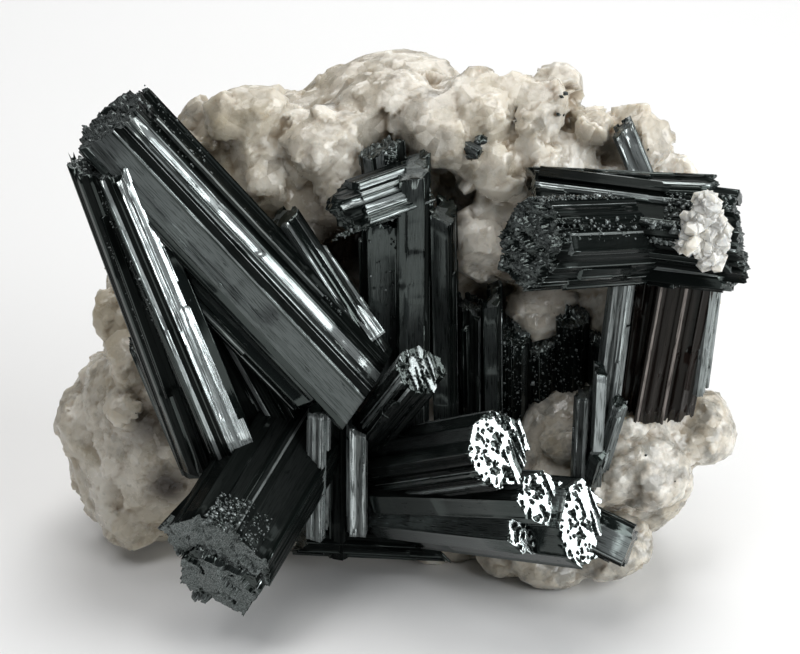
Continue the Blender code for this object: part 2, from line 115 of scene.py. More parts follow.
CRYSTALS = {
    "left_sheaf": [
        Prism((-3.2, -11.0, 24.2), (-27.2, -6.2, 50.5), 9, 7, LARGEST, 0, (0.05, 0.3), (0.25, 0.1),
              end="feather", side=7),
        Prism((-7.4, -9.4, 22.6), (-25.0, -5.0, 40.6), 6.6, 6, FLAT, -8, (0.1, 0.3), (-0.4, 0.2), side=4),
        blunt((-2.4, -9.4, 27.0), (-11.3, -5.4, 40.1), 2.6, 3.4, BRIGHT_FLAT, -28, (-0.4, 0.3), (0.2, 0),
              side=2),
        blunt((-2.6, -9.0, 28.6), (-8.8, -5.8, 37.0), 2.4, 3, BRIGHT_FLAT, -28, (0.5, 0.2), side=2),
        Prism((-19.6, -8.4, 13.8), (-29.6, -6.8, 46.4), 4, 5, UPPER, -12, (0.2, 0.4), (-0.7, 0), side=6),
        Prism((-16.0, -10.2, 16.4), (-27.1, -7.8, 46.7), 4.8, 5.4, LEFT_FACET, 0, (-0.1, 0.3), (-0.4, 0.2),
              side=4),
        blunt((-19.8, -6.8, 13.0), (-24.6, -6.0, 26.6), 4, 4.4, FLAT, -10, (0.5, 0.2), (-0.4, 0), side=2),
        Prism((-9.6, -7.2, 15.8), (-17.6, -5.2, 31.0), 4.6, 4.4, SHADED, 6, (0.2, 0.2), side=4),
        Prism((-13.2, -6.6, 14.6), (-20.6, -5.0, 30.6), 3.8, 4, SHADED_FLAT, -8, (0.3, 0.2), side=3),
    ],
    "lower_left_stub": [
        Prism((-9.0, -1.6, 17.7), (-17.4, -20.4, 10.9), 11.2, 8.8, DULL_AND_SHADED, 8, (0.03, 0.1),
              end="pitted", side=3, way=-144),
        Prism((-11.5, -7.5, 12.8), (-17.6, -20.6, 7.6), 8.4, 6, FLAT, -15, (0, 0.15), end="pitted", side=1),
        Prism((-12.4, -6.5, 16.0), (-20.6, -18.6, 11.8), 6, 5.6, RIDGED, 25, (0, 0.2),
              end="pitted", side=1),
    ],
    "front_prisms": [
        blunt((-8.3, -7.4, 6.6), (-7.8, -10.6, 22.8), 2, 3.4, BRIGHT_FLAT, 12, (-0.2, 0.3),
              side=2, lustre=0.3),
        Prism((-6.3, -4.6, 2.6), (-6.2, -6.4, 20.6), 2.8, 3.4, SHADED, -10, (0.3, 0), side=2),
        blunt((-4.4, -5.6, 6.0), (-4.3, -7.8, 19.4), 2.1, 3.4, BRIGHT_FLAT, -6, (0.3, 0.2),
              side=2, lustre=0.3),
        Prism((3.4, -3.6, 3.6), (-10.6, -3.4, 4.2), 4.2, 6, ROUGH_ROUND, 20, (0.3, 0.2), (0.4, -0.2),
              side=6),
        Prism((1.6, -4.4, 5.0), (5.0, -6.0, 2.0), 0.7, 0.6, SHADED, 0, side=0),
    ],
    "central_sheaf": [
        blunt((1.3, -4.6, 17.0), (1.3, -7.2, 46.0), 3.2, 5.4, FLAT, 4, (-0.3, 0.1), side=3),
        Prism((-1.8, -3.8, 17.0), (-2.0, -6.2, 41.6), 3.8, 4.8, FLAT, -10, (-0.2, 0.4), side=3),
        blunt((4.7, -3.8, 17.4), (4.1, -6.2, 41.2), 2.4, 4, FLAT, 14, (0.5, 0.2), side=3),
        Prism((1.6, -5.6, 43.3), (-7.0, -13.0, 43.0), 4.4, 4.2, SHADED, 10, (0.1, -0.1),
              end="point", side=0),
        Prism((-1.2, -2.6, 40.0), (-1.8, -3.6, 46.8), 4.6, 3.6, ROUNDED, 0, (-0.3, -0.2),
              side=0, coarse=1.6),
        blunt((1.6, -5.9, 43.6), (-4.6, -11.2, 43.4), 5, 5, KNOB, 10, (0.3, 0.2), side=0),
    ],
    "inner_druse": [
        Prism((7.2, -2.0, 15.0), (6.9, -4.0, 30.4), 3, 4, SHADED, -12, (0.2, 0.2), side=3),
        blunt((9.4, -2.6, 16.0), (9.0, -4.8, 31.6), 1.9, 3.6, FLAT, 8, (-0.4, 0.3), side=2),
        Prism((11.6, -1.2, 15.4), (11.4, -3.2, 27.2), 3.2, 3.8, ROUGH_ROUND, 14, (0.3, 0.3),
              side=4, coarse=1.6),
        Prism((14.4, -0.6, 15.4), (14.0, -2.4, 25.8), 3.4, 3.4, ROUGH_ROUND, -14, (-0.3, 0.3),
              side=4, coarse=1.6),
        Prism((17.3, -1.2, 15.4), (17.0, -2.6, 28.6), 3.6, 3.6, ROUGH_ROUND, 6, (0.3, 0.3),
              side=4, coarse=1.4),
        Prism((20.2, -1.8, 15.0), (19.8, -2.2, 26.8), 3.2, 3.4, ROUGH_ROUND, -20, (-0.2, 0.3),
              side=3, coarse=1.4),
    ],
    "facing_stub": [
        Prism((-3.6, -2.2, 14.2), (2.0, -17.2, 29.4), 5.2, 4.6, BROAD, 20, (-0.12, -0.07),
              end="slats", side=2, way=-117),
    ],
    "lower_right_sheaf": [
        Prism((-1.6, -2.0, 10.9), (9.4, -20.4, 22.6), 7, 7.6, BROAD, 15, (0, 0.03),
              end="bright", side=2, way=-110),
        Prism((-2.6, -3.0, 8.5), (13.8, -20.4, 17.4), 5.4, 6.4, BROAD, 10, (-0.09, 0.22),
              end="bright", side=1, way=-24),
        Prism((-1.6, -3.4, 6.4), (12.8, -19.8, 13.8), 5.2, 6.4, BROAD, -10, (-0.18, 0.15),
              end="bright", side=1, way=-7),
        Prism((0.6, -3.2, 7.4), (17.2, -21.6, 15.4), 8.6, 5, BROAD, 8, (-0.13, 0.22),
              end="bright", side=2, way=-26),
        blunt((3.2, -7.0, 15.6), (22.8, -13.4, 8.2), 4.4, 5, FLAT, 0, (-0.1, 0.1), side=2),
    ],
    "upper_right_sheaf": [
        Prism((12.4, -7.4, 41.4), (32.3, -10.9, 40.2), 8.8, 7.4, UPPER, 14, (-0.26, 0.1), (0.1, 0.2),
              side=10, coarse=1.4),
        Prism((12.8, -5.8, 43.0), (29.6, -8.6, 43.4), 4.4, 4.6, RIDGED, 24, (0.3, 0), (0.5, 0.2), side=5),
        Prism((18.0, -8.6, 37.8), (31.4, -10.6, 37.0), 4.6, 5.6, SHADED_FLAT, -12, (-0.3, 0.2),
              side=5, coarse=1.4),
        Prism((23.6, -8.4, 39.0), (11.6, -18.2, 42.6), 8.6, 7, ROUGH_ROUND, 10, (0.15, 0.25), side=6),
        Prism((27.4, -8.2, 38.0), (25.5, -5.8, 19.8), 7.2, 5.4, FLAT, 184, (0.1, 0.2), side=4, kind=RED),
        blunt((30.0, -8.6, 38.0), (29.2, -6.8, 22.4), 2, 3.4, FLAT, 160, (-0.4, 0), side=1, lustre=0.4),
        Prism((21.6, -8.4, 38.0), (20.1, -7.6, 19.8), 2.6, 3.6, RIDGED, 176, (0.2, 0.2),
              side=3, lustre=0.38),
        Prism((24.0, -6.6, 38.0), (22.5, -5.6, 19.8), 3, 3.4, FLAT, 190, (0, 0.2), side=1, kind=RED),
    ],
    "right_bundle": [
        blunt((17.8, -9.0, 13.4), (17.8, -10.6, 23.8), 1.9, 2.4, RIDGED, 6, (-0.3, 0.3),
              side=1, lustre=0.22),
        blunt((19.2, -9.2, 13.2), (19.2, -11.8, 27.0), 1.3, 2, FLAT, -8, (0.4, 0.2), side=0, lustre=0.22),
        blunt((19.8, -9.0, 14.6), (21.3, -11.2, 23.0), 1.7, 2, RIDGED, 14, (0.3, 0.3), side=1, lustre=0.22),
        blunt((18.8, -8.6, 12.4), (19.6, -10.8, 17.6), 1.7, 2.2, FLAT, 30, (0.2, 0.4), side=0),
    ],
    "top_prism": [
        blunt((24.0, -2.6, 41.6), (21.3, -1.4, 47.8), 2.4, 2.6, BRIGHT_FLAT, 8, (-0.3, 0.3),
              side=1, lustre=0.15),
    ],
}

# Lumps of stone: centre and half sizes. The mass of the matrix first, then its largest grains.
MATRIX_MASS = [
    (2, 9.5, 38.5, 15.5, 10.5, 12.5), (-13, 7, 36, 11.5, 10.5, 12.5),
    (14.8, 6.8, 38, 11.2, 10.5, 11), (-24.6, 6, 11.5, 10.2, 10.5, 12.5),
    (-22.6, 6, 26, 7.6, 9.5, 10), (-11, 4, 24, 10, 9, 10),
    (20, 2.5, 11, 11.2, 11.5, 11.5), (24.5, 5.6, 27, 8, 9.8, 13),
    (-2, 4.5, 10, 13, 8.5, 10), (0, 11.5, 18, 26, 10, 19),
    (0, 8, 4, 28, 11, 6),
]
MATRIX_GRAINS = [
    (-14.8, 0, 48.3, 4.8, 3.6, 2.8), (-13.1, 0, 43, 3.6, 3.6, 5.4),
    (-19, 1.5, 45.4, 3.6, 3.6, 3.6), (-6.6, -1.4, 42.8, 3.4, 3.4, 6.6),
    (0.4, 2, 47.5, 7.4, 4.6, 4.5), (-5, 3.6, 45.8, 4, 4, 2.8),
    (4.6, -2.6, 46.6, 2.2, 2.6, 2.6), (7.7, -0.2, 49.2, 3.2, 3, 3.2),
    (9.1, -2.2, 43.4, 4, 2.6, 2.8), (7.7, -2.6, 36.4, 3, 3, 4.6),
    (4.6, 2.6, 49, 3.4, 3.6, 2.8), (11.2, 1.6, 49.6, 2.4, 2.6, 2.6),
    (14, 0, 49.2, 2.6, 2.8, 2.6), (15.4, 3.4, 49.6, 2.8, 2.6, 2.6),
    (18.4, 0.6, 46.4, 2.4, 2.6, 2.4), (12.5, -1.6, 46.2, 2.4, 2.4, 2.2),
    (22.5, 2, 44.8, 3.8, 4, 4), (26, 3.4, 40.6, 3, 3.4, 4.2),
    (13.9, -0.6, 28, 3.6, 2.8, 3), (-27.6, -1.4, 3.6, 3.4, 3, 2.4),
    (-30.4, 1, 6.4, 3.2, 4, 4.2), (-27, -0.4, 21.8, 2.6, 2.8, 3.4),
    (-33, 4, 12.6, 2.8, 4, 4), (-28.4, 4, 25, 2.4, 3.6, 4.2),
    (-29, 0, 10.6, 3.8, 3.4, 3.8), (-26.8, 5, 31.4, 2.4, 3.4, 3),
    (30, -0.6, 14.6, 4.2, 5, 4.4), (24.6, -6.4, 12.6, 4.6, 3.2, 4),
    (21, -7, 4.4, 4.8, 3.4, 4), (15, -6.2, 2.6, 4.4, 3.4, 3),
    (11, -4.6, 2.4, 4.4, 3.4, 2.6),
]
MATRIX_VOXEL = 0.42  # how finely the stone is fused
MASS_VOXEL = 0.8  # and for the mass that the blocks are set on
SMALL_GRAINS = 200
SMALL_GRAIN_SIZE = (1.8, 4.4)
SINK = 0.86  # where the small grains' middles are, times the half size of the lump
EDGE_ROOM = 0.8  # how far a grain keeps inside the outline, times its half size

# The photo's view, and the outline of the stone in it: to the right, and up the view (mm).
VIEW_TILT = math.radians(25)
VIEW_HEIGHT = 25.8
VIEW_DISTANCE = 267
SIGHT_START = 0.2  # how far out a line of sight starts, in metres
TO_VIEWER = Vector((0, -math.cos(VIEW_TILT), math.sin(VIEW_TILT)))
OUTLINE = [
    (-27, -30), (-27, -20), (-29.6, -17.5), (-30, -14), (-32.2, -9.5), (-30.8, -7), (-28.6, -4.5),
    (-29.4, -1), (-27.4, 5), (-28, 8), (-24, 16), (-20.2, 20.2), (-16.5, 22.3), (-11, 22.2), (-5, 23),
    (-3.4, 24.5), (3.6, 25), (8, 24.6), (12.8, 23.6), (14.7, 24.7), (18.3, 20.8), (22, 20.4),
    (25.7, 17.3), (28, 13), (29, 0), (31, -7), (31, -10), (26.6, -14), (25.6, -18), (21, -23), (20, -30),
]

# Blocky grains half sunk in the stone: how many, and their half sizes, by place.
BLOCKS = {"top": (60, 1.8, 3.4), "left": (40, 1.4, 2.4), "sugar": (50, 1.0, 1.8)}

# The mosaic of flat grains on its surface: how far apart they are, by place.
GRAIN_SPACING = {"top": 2.5, "left": 2.0, "sugar": 1.1}
FILL = (0.9, 0.6)  # how far the creases between its lumps are filled, in two rounds
GRAIN_FLAT = 0.75  # how flat a grain is
GRAIN_TILT = 0.16  # how far its flat leans from the surface
GRAIN_LIFT = 0.05  # how much higher or lower it stands, times its radius
GRAIN_EDGE = 0.22  # how wide its rounded edge is
GRAIN_CREASE = 0.16  # how deep the edge goes, times its radius
SUBGRAINS = 0.4  # size of the grains that some are made of

# Beige grains: centre and radius.
WARM = [(7, -1, 46.5, 3.4), (9.5, -2, 42.5, 2.8)]

# Tiny dark crystals on the stone: to the right, up the view, spread, how many, width.
DARK_BITS = [
    (7.1, 17, 0.35, 9, 1.1), (15.6, 22.2, 0.2, 2, 0.5), (22.6, -19.6, 0.4, 4, 0.45),
    (15.4, 20.4, 0.3, 3, 0.4), (-2, 15, 0.8, 3, 0.3), (24, 17, 0.5, 2, 0.3),
    (-24, -8, 1.5, 4, 0.25), (27, -12, 2, 5, 0.25),
]

# Dark brown spots, partly stains and partly painted shade in the hollows behind the crystals, the largest
# over the cavity there: centre and radius.
STAINS_AND_SHADE = [
    (-5, -2, 35.5, 7.5), (-20, 0, 44, 3), (-25, -2, 16, 3), (-23.5, -4, 10, 2.6),
    (5, -2, 38.5, 3), (12, -3, 33, 4),
]

# Tiny crystals scattered over a side: row, side, from and to along it, across it, how many, size.
SPECKS = {
    "left_sheaf": [
        (0, 4, 0.2, 1, 0.35, 0.5, 240, 0.12),
        (0, 4, 0.75, 1, 0, 1, 90, 0.11),
        (4, 1, 0.3, 0.8, 0.2, 0.5, 110, 0.1),
        (5, 0, 0.5, 0.95, 0, 1, 80, 0.1),
    ],
    "lower_left_stub": [(0, 2, 0.8, 1, 0, 0.7, 260, 0.16), (0, 1, 0.78, 1, 0.3, 1, 120, 0.15)],
    "inner_druse": [(k, side, 0.1, 1, 0, 1, 60, 0.12) for k in (2, 3, 4) for side in (1, 2, 3)],
    "upper_right_sheaf": [
        (0, 2, 0.55, 0.82, 0, 1, 420, 0.22),
        (0, 1, 0.62, 0.92, 0, 1, 160, 0.2),
        (0, 2, 0, 0.55, 0, 1, 160, 0.14),
        (3, 5, 0.3, 1, 0, 1, 140, 0.16),
        (3, 3, 0.3, 1, 0, 1, 140, 0.16),
    ],
    "central_sheaf": [
        (4, 3, 0.1, 1, 0, 1, 120, 0.18),
        (3, 0, 0.3, 1, 0, 1, 60, 0.2),
        (1, 1, 0.1, 0.9, 0, 1, 60, 0.12),
    ],
    "lower_right_sheaf": [(0, 1, 0.4, 1, 0, 1, 120, 0.14)],
}

# Lumps of the white tuft: centre and half sizes.
TUFT_GRAINS = [
    (28, -13.2, 42.5, 2, 1.3, 1.9), (27, -13.4, 41, 1.4, 1.2, 1.3), (28.8, -13.4, 39.9, 1.6, 1.3, 1.5),
    (29.6, -13.2, 41.6, 1.3, 1.2, 1.4), (28.4, -13, 44.4, 1.2, 1.2, 0.9),
]


def place(point):
    """A place in the model, in metres."""
    return Vector((point[0] - ORIGIN_X, point[1] - ORIGIN_Y, point[2])) * MM


def three(draw, low, high):
    return np.array([draw.uniform(low, high) for _ in range(3)])


def random_turn(draw, low, high):
    return np.array(Euler(three(draw, low, high)).to_matrix())


def random_way(draw):
    return np.array(Vector([draw.gauss(0, 1) for _ in range(3)]).normalized())


def link(name, data):
    obj = bpy.data.objects.new(name, data)
    bpy.context.scene.collection.objects.link(obj)
    return obj


def read(items, field, width, kind):
    values = np.empty(len(items) * width, kind)
    items.foreach_get(field, values)
    return values.reshape(-1, width)


def write(items, field, values, kind=np.float32):
    items.foreach_set(field, values.astype(kind).ravel())


def as_piece(obj, materials, node=None):
    """Dresses an object, hangs it on the root body and, where it takes a node's place, hides that node's
    imported part.
    """
    for material in materials:
        obj.data.materials.append(material)
    if node:
        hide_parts(node)
    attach(obj, "root")


# Crystals


def prism_axes(prism):
    """Unit vectors along a prism, across it and to its front."""
    along = (Vector(prism.tip) - Vector(prism.root)).normalized()
    out = FRONT.normalized()
    if abs(along.dot(out)) > FACING:
        out = UP
    out = (out - along * out.dot(along)).normalized()
    across = along.cross(out)
    turn = math.radians(prism.turn)
    return (
        along,
        across * math.cos(turn) + out * math.sin(turn),
        out * math.cos(turn) - across * math.sin(turn),
    )


RISER = 0.02  # width of the step between two striae
CORNER = 0.1  # room left free at a corner
FINEST = 0.35  # a stria has a point at least this often across
SPREAD = 0.8  # how unlike one another the widths of the striae are
MARGIN = 0.12  # how much deeper than twice its relief a stria may lie


def terraces(prism, draw):
    """The points round the section, with their inward directions, the stria each belongs to
    (-1 on a corner) and where in it, and the striae: limit, depth, tilt, lustre, half width, and whether it
    is dull and shaded (partly dull lustre, partly painted shade)."""
    corners = [Vector((x * prism.width / 2, y * prism.depth / 2)) for x, y, _ in prism.section]
    rows, striae = [], []
    for index, start in enumerate(corners):
        end = corners[(index + 1) % len(corners)]
        length = (end - start).length
        way = (end - start).normalized()
        into = Vector((way.y, -way.x))
        if into.dot(start + end) > 0:
            into = -into
        rows.append((start, -start.normalized(), -1, 0))
        corner = min(CORNER, length / 5)
        room = length - 2 * corner
        pitch, relief, tilt, dull_and_shaded_share, bright_share, lustre = SIDES[prism.section[index][2]]
        widths = [draw.lognormvariate(0, SPREAD) for _ in range(max(1, round(room / pitch / prism.coarse)))]
        at = corner
        for step, share in enumerate(widths):
            width = share * room / sum(widths)
            edge = min(RISER, width * 0.25) / 2
            parts = 1 + int(width / FINEST)
            for part in range(parts + 1):
                point = start + way * (at + edge + (width - 2 * edge) * part / parts)
                rows.append((point, into, len(striae), 2 * part / parts - 1))
            deepest = corner if step in (0, len(widths) - 1) else relief * prism.coarse * 2 + MARGIN
            pick = draw.random()
            odds = bright_share * (NARROW_ODDS if width < NARROW * pitch * prism.coarse else WIDE_ODDS)
            shine = lustre * (pick > 1 - odds)
            striae.append((deepest, relief * prism.coarse, tilt, shine, width / 2, pick < dull_and_shaded_share))
            at += width
    return [np.array(column) for column in zip(*rows)], np.array(striae).T


def cells(patch, size, way, stretch):
    """Which random cell each point is in, and how far it is from the middle of the cell."""
    x, y, reach, draw = patch
    count = int((2 * reach / size) ** 2 / stretch * 1.3) + 6
    seeds = np.array([(draw.uniform(-reach, reach), draw.uniform(-reach, reach)) for _ in range(count)])
    c, s = math.cos(way), math.sin(way)
    u = ((x * c + y * s)[:, None] - (seeds[:, 0] * c + seeds[:, 1] * s)[None]) / stretch
    v = (y * c - x * s)[:, None] - (seeds[:, 1] * c - seeds[:, 0] * s)[None]
    cell = np.argmin(np.maximum(np.abs(u), np.abs(v)), axis=1)
    return cell, x - seeds[cell, 0], y - seeds[cell, 1], count


def steps(patch, size, way, stretch, deepest, power, slope):
    """Cells at random depths, each tilted its own way."""
    draw = patch[-1]
    cell, dx, dy, count = cells(patch, size, way, stretch)
    level = np.array([-deepest * draw.random() ** power for _ in range(count)])
    lean = np.array([(draw.gauss(0, slope), draw.gauss(0, slope)) for _ in range(count)])
    return level[cell] + dx * lean[cell, 0] + dy * lean[cell, 1]


def holes(patch, size, way, stretch, share, deepest):
    """Cells some of which are sunk."""
    draw = patch[-1]
    cell, _, _, count = cells(patch, size, way, stretch)
    sunk = np.array([-deepest * draw.uniform(0.5, 1) * (draw.random() < share) for _ in range(count)])
    return sunk[cell]


def end_relief(prism, x, y):
    """Height of the free end above its plane."""
    draw = random.Random(str(prism.root) + str(prism.tip))
    width = max(prism.width, prism.depth)
    way = math.radians(prism.way)
    patch = (x, y, 0.75 * width, draw)
    if prism.end == "flat":
        return steps(patch, 0.9, draw.uniform(0, 3.1), 2.5, 0.2, 1, 0.03)
    if prism.end == "rough":
        big = steps(patch, 1.1, draw.uniform(0, 3.1), 1.3, 0.7, 1.5, 0.2)
        return big + steps(patch, 0.32, 0, 1.0, 0.2, 1, 0.5)
    if prism.end == "feather":
        return steps(patch, 0.9, 0.4, 2.4, 0.6, 2.5, 0.12) + steps(patch, 0.3, 0.4, 3.0, 0.08, 1, 0.25)
    if prism.end == "slats":
        return holes(patch, 0.34, way, 9.0, 0.5, 0.35) + holes(patch, 0.4, way, 1.8, 0.2, 0.5)
    if prism.end == "bright":
        pits = holes(patch, 0.5, way, 1.4, 0.13, 0.6) + holes(patch, 0.24, way, 1.3, 0.14, 0.4)
        slats = holes(patch, 0.3, way, 8.0, 0.24, 0.5) + holes(patch, 0.24, way, 2.0, 0.1, 0.4)
        right = x * math.cos(way - math.pi / 2) + y * math.sin(way - math.pi / 2)
        return np.where(right > 0.05 * width, slats, pits)
    if prism.end == "point":
        facets = -0.9 * np.abs(x - 0.15 * width) - 0.55 * np.abs(y - 0.1 * width)
        return facets + steps(patch, 0.9, 0.5, 1.4, 0.5, 1, 0.25)
    lobes = steps(patch, 2.8, 0.3, 1.2, 1.0, 1, 0.08)
    flakes = steps(patch, 0.4, way, 1.2, 0.05, 1, 0.1)
    return lobes + flakes + holes(patch, 0.34, way, 1.4, 0.12, 0.4)


# Ends: how mirror-like they are, and the size of their triangles.
ENDS = {
    "flat": (0.1, 0.5),
    "rough": (0.07, 0.17),
    "feather": (0.12, 0.13),
    "point": (0.25, 0.15),
    "slats": (0.5, 0.1),
    "bright": (1.0, 0.1),
    "pitted": (0.15, 0.12),
}
PIT = -0.12  # most ends have no lustre below this
HOLLOWS = {"rough": -0.6, "feather": -0.6, "pitted": -0.9}  # and uneven ones below these
GRAIN_STRETCH = 0.045  # how much the striae are drawn out in the material


def end_face(rim, pitch, draw):
    """Triangles that fill a rim: the new points, and corners as numbers, the rim's first."""
    low, high = rim.min(0), rim.max(0)
    grid = [
        (x + draw.uniform(-0.3, 0.3) * pitch, y + draw.uniform(-0.3, 0.3) * pitch)
        for x in np.arange(low[0], high[0], pitch)
        for y in np.arange(low[1], high[1], pitch)
    ]
    around = len(rim)
    corners = [Vector(p) for p in rim.tolist() + grid]
    edges = [(k, (k + 1) % around) for k in range(around)]
    made = delaunay_2d_cdt(corners, edges, [], 1, 1e-4)
    known = {}
    fresh = []
    for index, (corner, sources) in enumerate(zip(made[0], made[3])):
        on_rim = [source for source in sources if source < around]
        if on_rim:
            known[index] = on_rim[0]
        else:
            known[index] = around + len(fresh)
            fresh.append((corner.x, corner.y))
    faces = np.array([[known[corner] for corner in face] for face in made[2]])
    return np.array(fresh).reshape(-1, 2), faces


def end_tones(end, lowest, draw):
    """Lustre of each triangle of an end, by how low its lowest corner is."""
    lustre = ENDS[end][0]
    if end not in HOLLOWS:
        return np.where(lowest < PIT, 0.0, lustre)
    tones = lustre * np.array([draw.random() * 2 for _ in lowest])
    return np.where(lowest < HOLLOWS[end], 0.0, tones)


CHANGE_ROOM = 0.4  # from one change along a crystal to the next, at least
WAVER = 0.03  # how much a stria's depth wavers along it


def ring_places(length, changes, draw):
    """Where the rings of a crystal are along it, as shares: two close together at each change."""
    shares = [0.0]
    for share in sorted(draw.uniform(0.03, 0.97) for _ in range(changes)):
        if share - shares[-1] > CHANGE_ROOM / length:
            shares += [share, share + draw.uniform(0.04, 0.12) / length]
    return np.array(shares + [1.0])


def stria_levels(striae, shares, changes, draw):
    """Depth and slope of each stria at each ring, with jumps where some change."""
    limits, depths, tilts = striae[:3]
    count, rings = len(limits), len(shares)
    level = np.zeros((count, rings))
    slope = np.zeros((count, rings))
    for stria in range(count):
        level[stria] = depths[stria] * draw.random() ** 2
        waves = [draw.uniform(-0.5, 0.5) * WAVER for _ in range(4)]
        level[stria] += np.interp(shares, (0, 0.33, 0.67, 1), waves)
        slope[stria] = tilts[stria] * draw.uniform(-1, 1)
    for _ in range(int(changes * 1.6)):
        first = draw.randrange(count)
        last = first + 1 + int(draw.expovariate(0.45))
        begin = 2 + 2 * draw.randrange(max(1, (rings - 2) // 2))
        jump = (0.05 + depths[first]) * draw.uniform(0.4, 1.3) * (1 if draw.random() < 0.8 else -1)
        level[first:last, begin:] += jump
        slope[first:last, begin:] *= draw.uniform(-1, 1)
    return np.clip(level, 0, limits[:, None]), slope


# Arrays of a mesh in millimetres: tone is how mirror-like each face is, and kind its material.
Shell = namedtuple("Shell", "points loops sizes uv tone kind")


def swept_crystal(prism, draw, changes):
    """A closed striated prism."""
    along, across, out = (np.array(v) for v in prism_axes(prism))
    root, tip = np.array(prism.root), np.array(prism.tip)
    length = float(np.linalg.norm(tip - root))
    (base, inward, owner, within), striae = terraces(prism, draw)
    _, _, _, lustre, halves, dull_and_shaded = striae
    around = len(base)
    shares = ring_places(length, changes, draw)
    rings = len(shares)
    level, slope = stria_levels(striae, shares, changes, draw)
    inset = np.zeros((around, rings))
    known = owner >= 0
    mine = owner[known]
    swing = slope[mine] * within[known, None] + np.abs(slope[mine])
    inset[known] = level[mine] + swing * halves[mine, None]
    flat = base[:, None, :] + inward[:, None, :] * inset[:, :, None]
    x, y = flat[..., 0], flat[..., 1]
    top = length - (x * prism.tip_lean[0] + y * prism.tip_lean[1])
    top = top + end_relief(prism, x[:, -1], y[:, -1])[:, None]
    bottom = x * prism.root_lean[0] + y * prism.root_lean[1]
    z = bottom + shares[None] * (top - bottom)
    points = root + along * z[..., None] + across * x[..., None] + out * y[..., None]
    points = points.transpose(1, 0, 2).reshape(-1, 3)
    ring = np.arange(around)
    after = (ring + 1) % around
    tone = np.array([0.06 * draw.random() ** 2 + shine * draw.uniform(0.6, 1.2) for shine in lustre])
    # Dull striae lose most of their faint shine: partly dull lustre, partly painted shade.
    tone *= 1 - 0.7 * dull_and_shaded * (lustre == 0)
    run = np.concatenate([[0], np.cumsum(np.linalg.norm(np.diff(base, axis=0), axis=1))])
    run_after = np.append(run[1:], run[-1] + np.linalg.norm(base[0] - base[-1]))
    own = np.where(known & (owner[after] == owner), tone[np.maximum(owner, 0)], 0.0)
    # Dull striae take the darker, less glossy copy: partly dull lustre, partly painted shade.
    kind = np.where(known, dull_and_shaded[np.maximum(owner, 0)] * SHADOW, 0)
    quads, us, vs = [], [], []
    for j in range(rings - 1):
        a, b = j * around + ring, j * around + after
        quads.append(np.stack([a, b, b + around, a + around], 1))
        us.append(np.stack([run, run_after, run_after, run], 1))
        vs.append(np.stack([z[ring, j], z[after, j], z[after, j + 1], z[ring, j + 1]], 1))
    # The free end, as fine triangles
    rim = np.stack([x[:, -1], y[:, -1]], 1)
    fresh, faces = end_face(rim, ENDS[prism.end][1], draw)
    plan = np.concatenate([rim, fresh])
    relief = end_relief(prism, plan[:, 0], plan[:, 1])
    height = length - plan @ np.array(prism.tip_lean) + relief
    end_points = root + along * height[:, None] + across * plan[:, :1] + out * plan[:, 1:]
    numbers = np.concatenate([(rings - 1) * around + ring, len(points) + np.arange(len(fresh))])
    end_tone = end_tones(prism.end, relief[faces].min(1), draw)
    end_uv = (plan / np.array([1, GRAIN_STRETCH]))[faces].reshape(-1, 2)
    side_uv = np.stack([np.concatenate(us).ravel(), np.concatenate(vs).ravel()], 1)
    kinds = np.concatenate([np.tile(kind, rings - 1), np.zeros(1 + len(faces))])
    if prism.kind:
        kinds[:] = prism.kind
    return Shell(
        points=np.concatenate([points, end_points[around:]]),
        loops=np.concatenate([np.concatenate(quads).ravel(), ring[::-1], numbers[faces].ravel()]),
        sizes=np.concatenate([np.full(around * (rings - 1), 4), [around], np.full(len(faces), 3)]),
        uv=np.concatenate([side_uv, rim[::-1], end_uv]),
        tone=np.clip(np.concatenate([np.tile(own, rings - 1) + prism.lustre, [0.0], end_tone]), 0, 1),
        kind=kinds,
    )


def beside(prism, draw):
    """A thin crystal half sunk in the side of another, along most of its length."""
    _, across, out = prism_axes(prism)
    corners = prism.section
    uneven = [index for index, corner in enumerate(corners) if corner[2] in "fck"]
    pick = draw.choice(uneven or range(len(corners)))
    a, b = Vector(corners[pick][:2]), Vector(corners[(pick + 1) % len(corners)][:2])
    at = a.lerp(b, draw.uniform(0.1, 0.9))
    width = draw.uniform(0.1, 0.24) * prism.width + 0.35
    sunk = 1 - draw.uniform(0.25, 0.45) * width / (0.5 * (prism.width + prism.depth) / 2)
    shift = across * at.x * prism.width / 2 * sunk + out * at.y * prism.depth / 2 * sunk
    root, tip = Vector(prism.root), Vector(prism.tip)
    far = root.lerp(tip, draw.uniform(0.6, 0.97)) + shift
    far += (across * draw.uniform(-1, 1) + out * draw.uniform(-1, 1)) * 0.15
    return prism._replace(
        root=tuple(root.lerp(tip, draw.uniform(0.0, 0.5)) + shift),
        tip=tuple(far),
        width=width,
        depth=draw.uniform(0.8, 1.4) * width,
        section=draw.choice((SHADED, SHADED_FLAT) if corners in DARK_SECTIONS else (THIN, FLAT, RIDGED)),
        turn=prism.turn + draw.uniform(-25, 25),
        tip_lean=(draw.uniform(-0.5, 0.5), draw.uniform(0, 0.6)),
        root_lean=(0, 0),
        end="flat",
        side=0,
    )


OCTAHEDRON = np.array([(1, 0, 0), (0, 1, 0), (-1, 0, 0), (0, -1, 0), (0, 0, 1), (0, 0, -1)])
OCTAHEDRON_FACES = np.array([(k, (k + 1) % 4, 4) for k in range(4)] + [((k + 1) % 4, k, 5) for k in range(4)])
SPECK_SINK = 0.99  # how far out a speck's middle is, times the way to the side


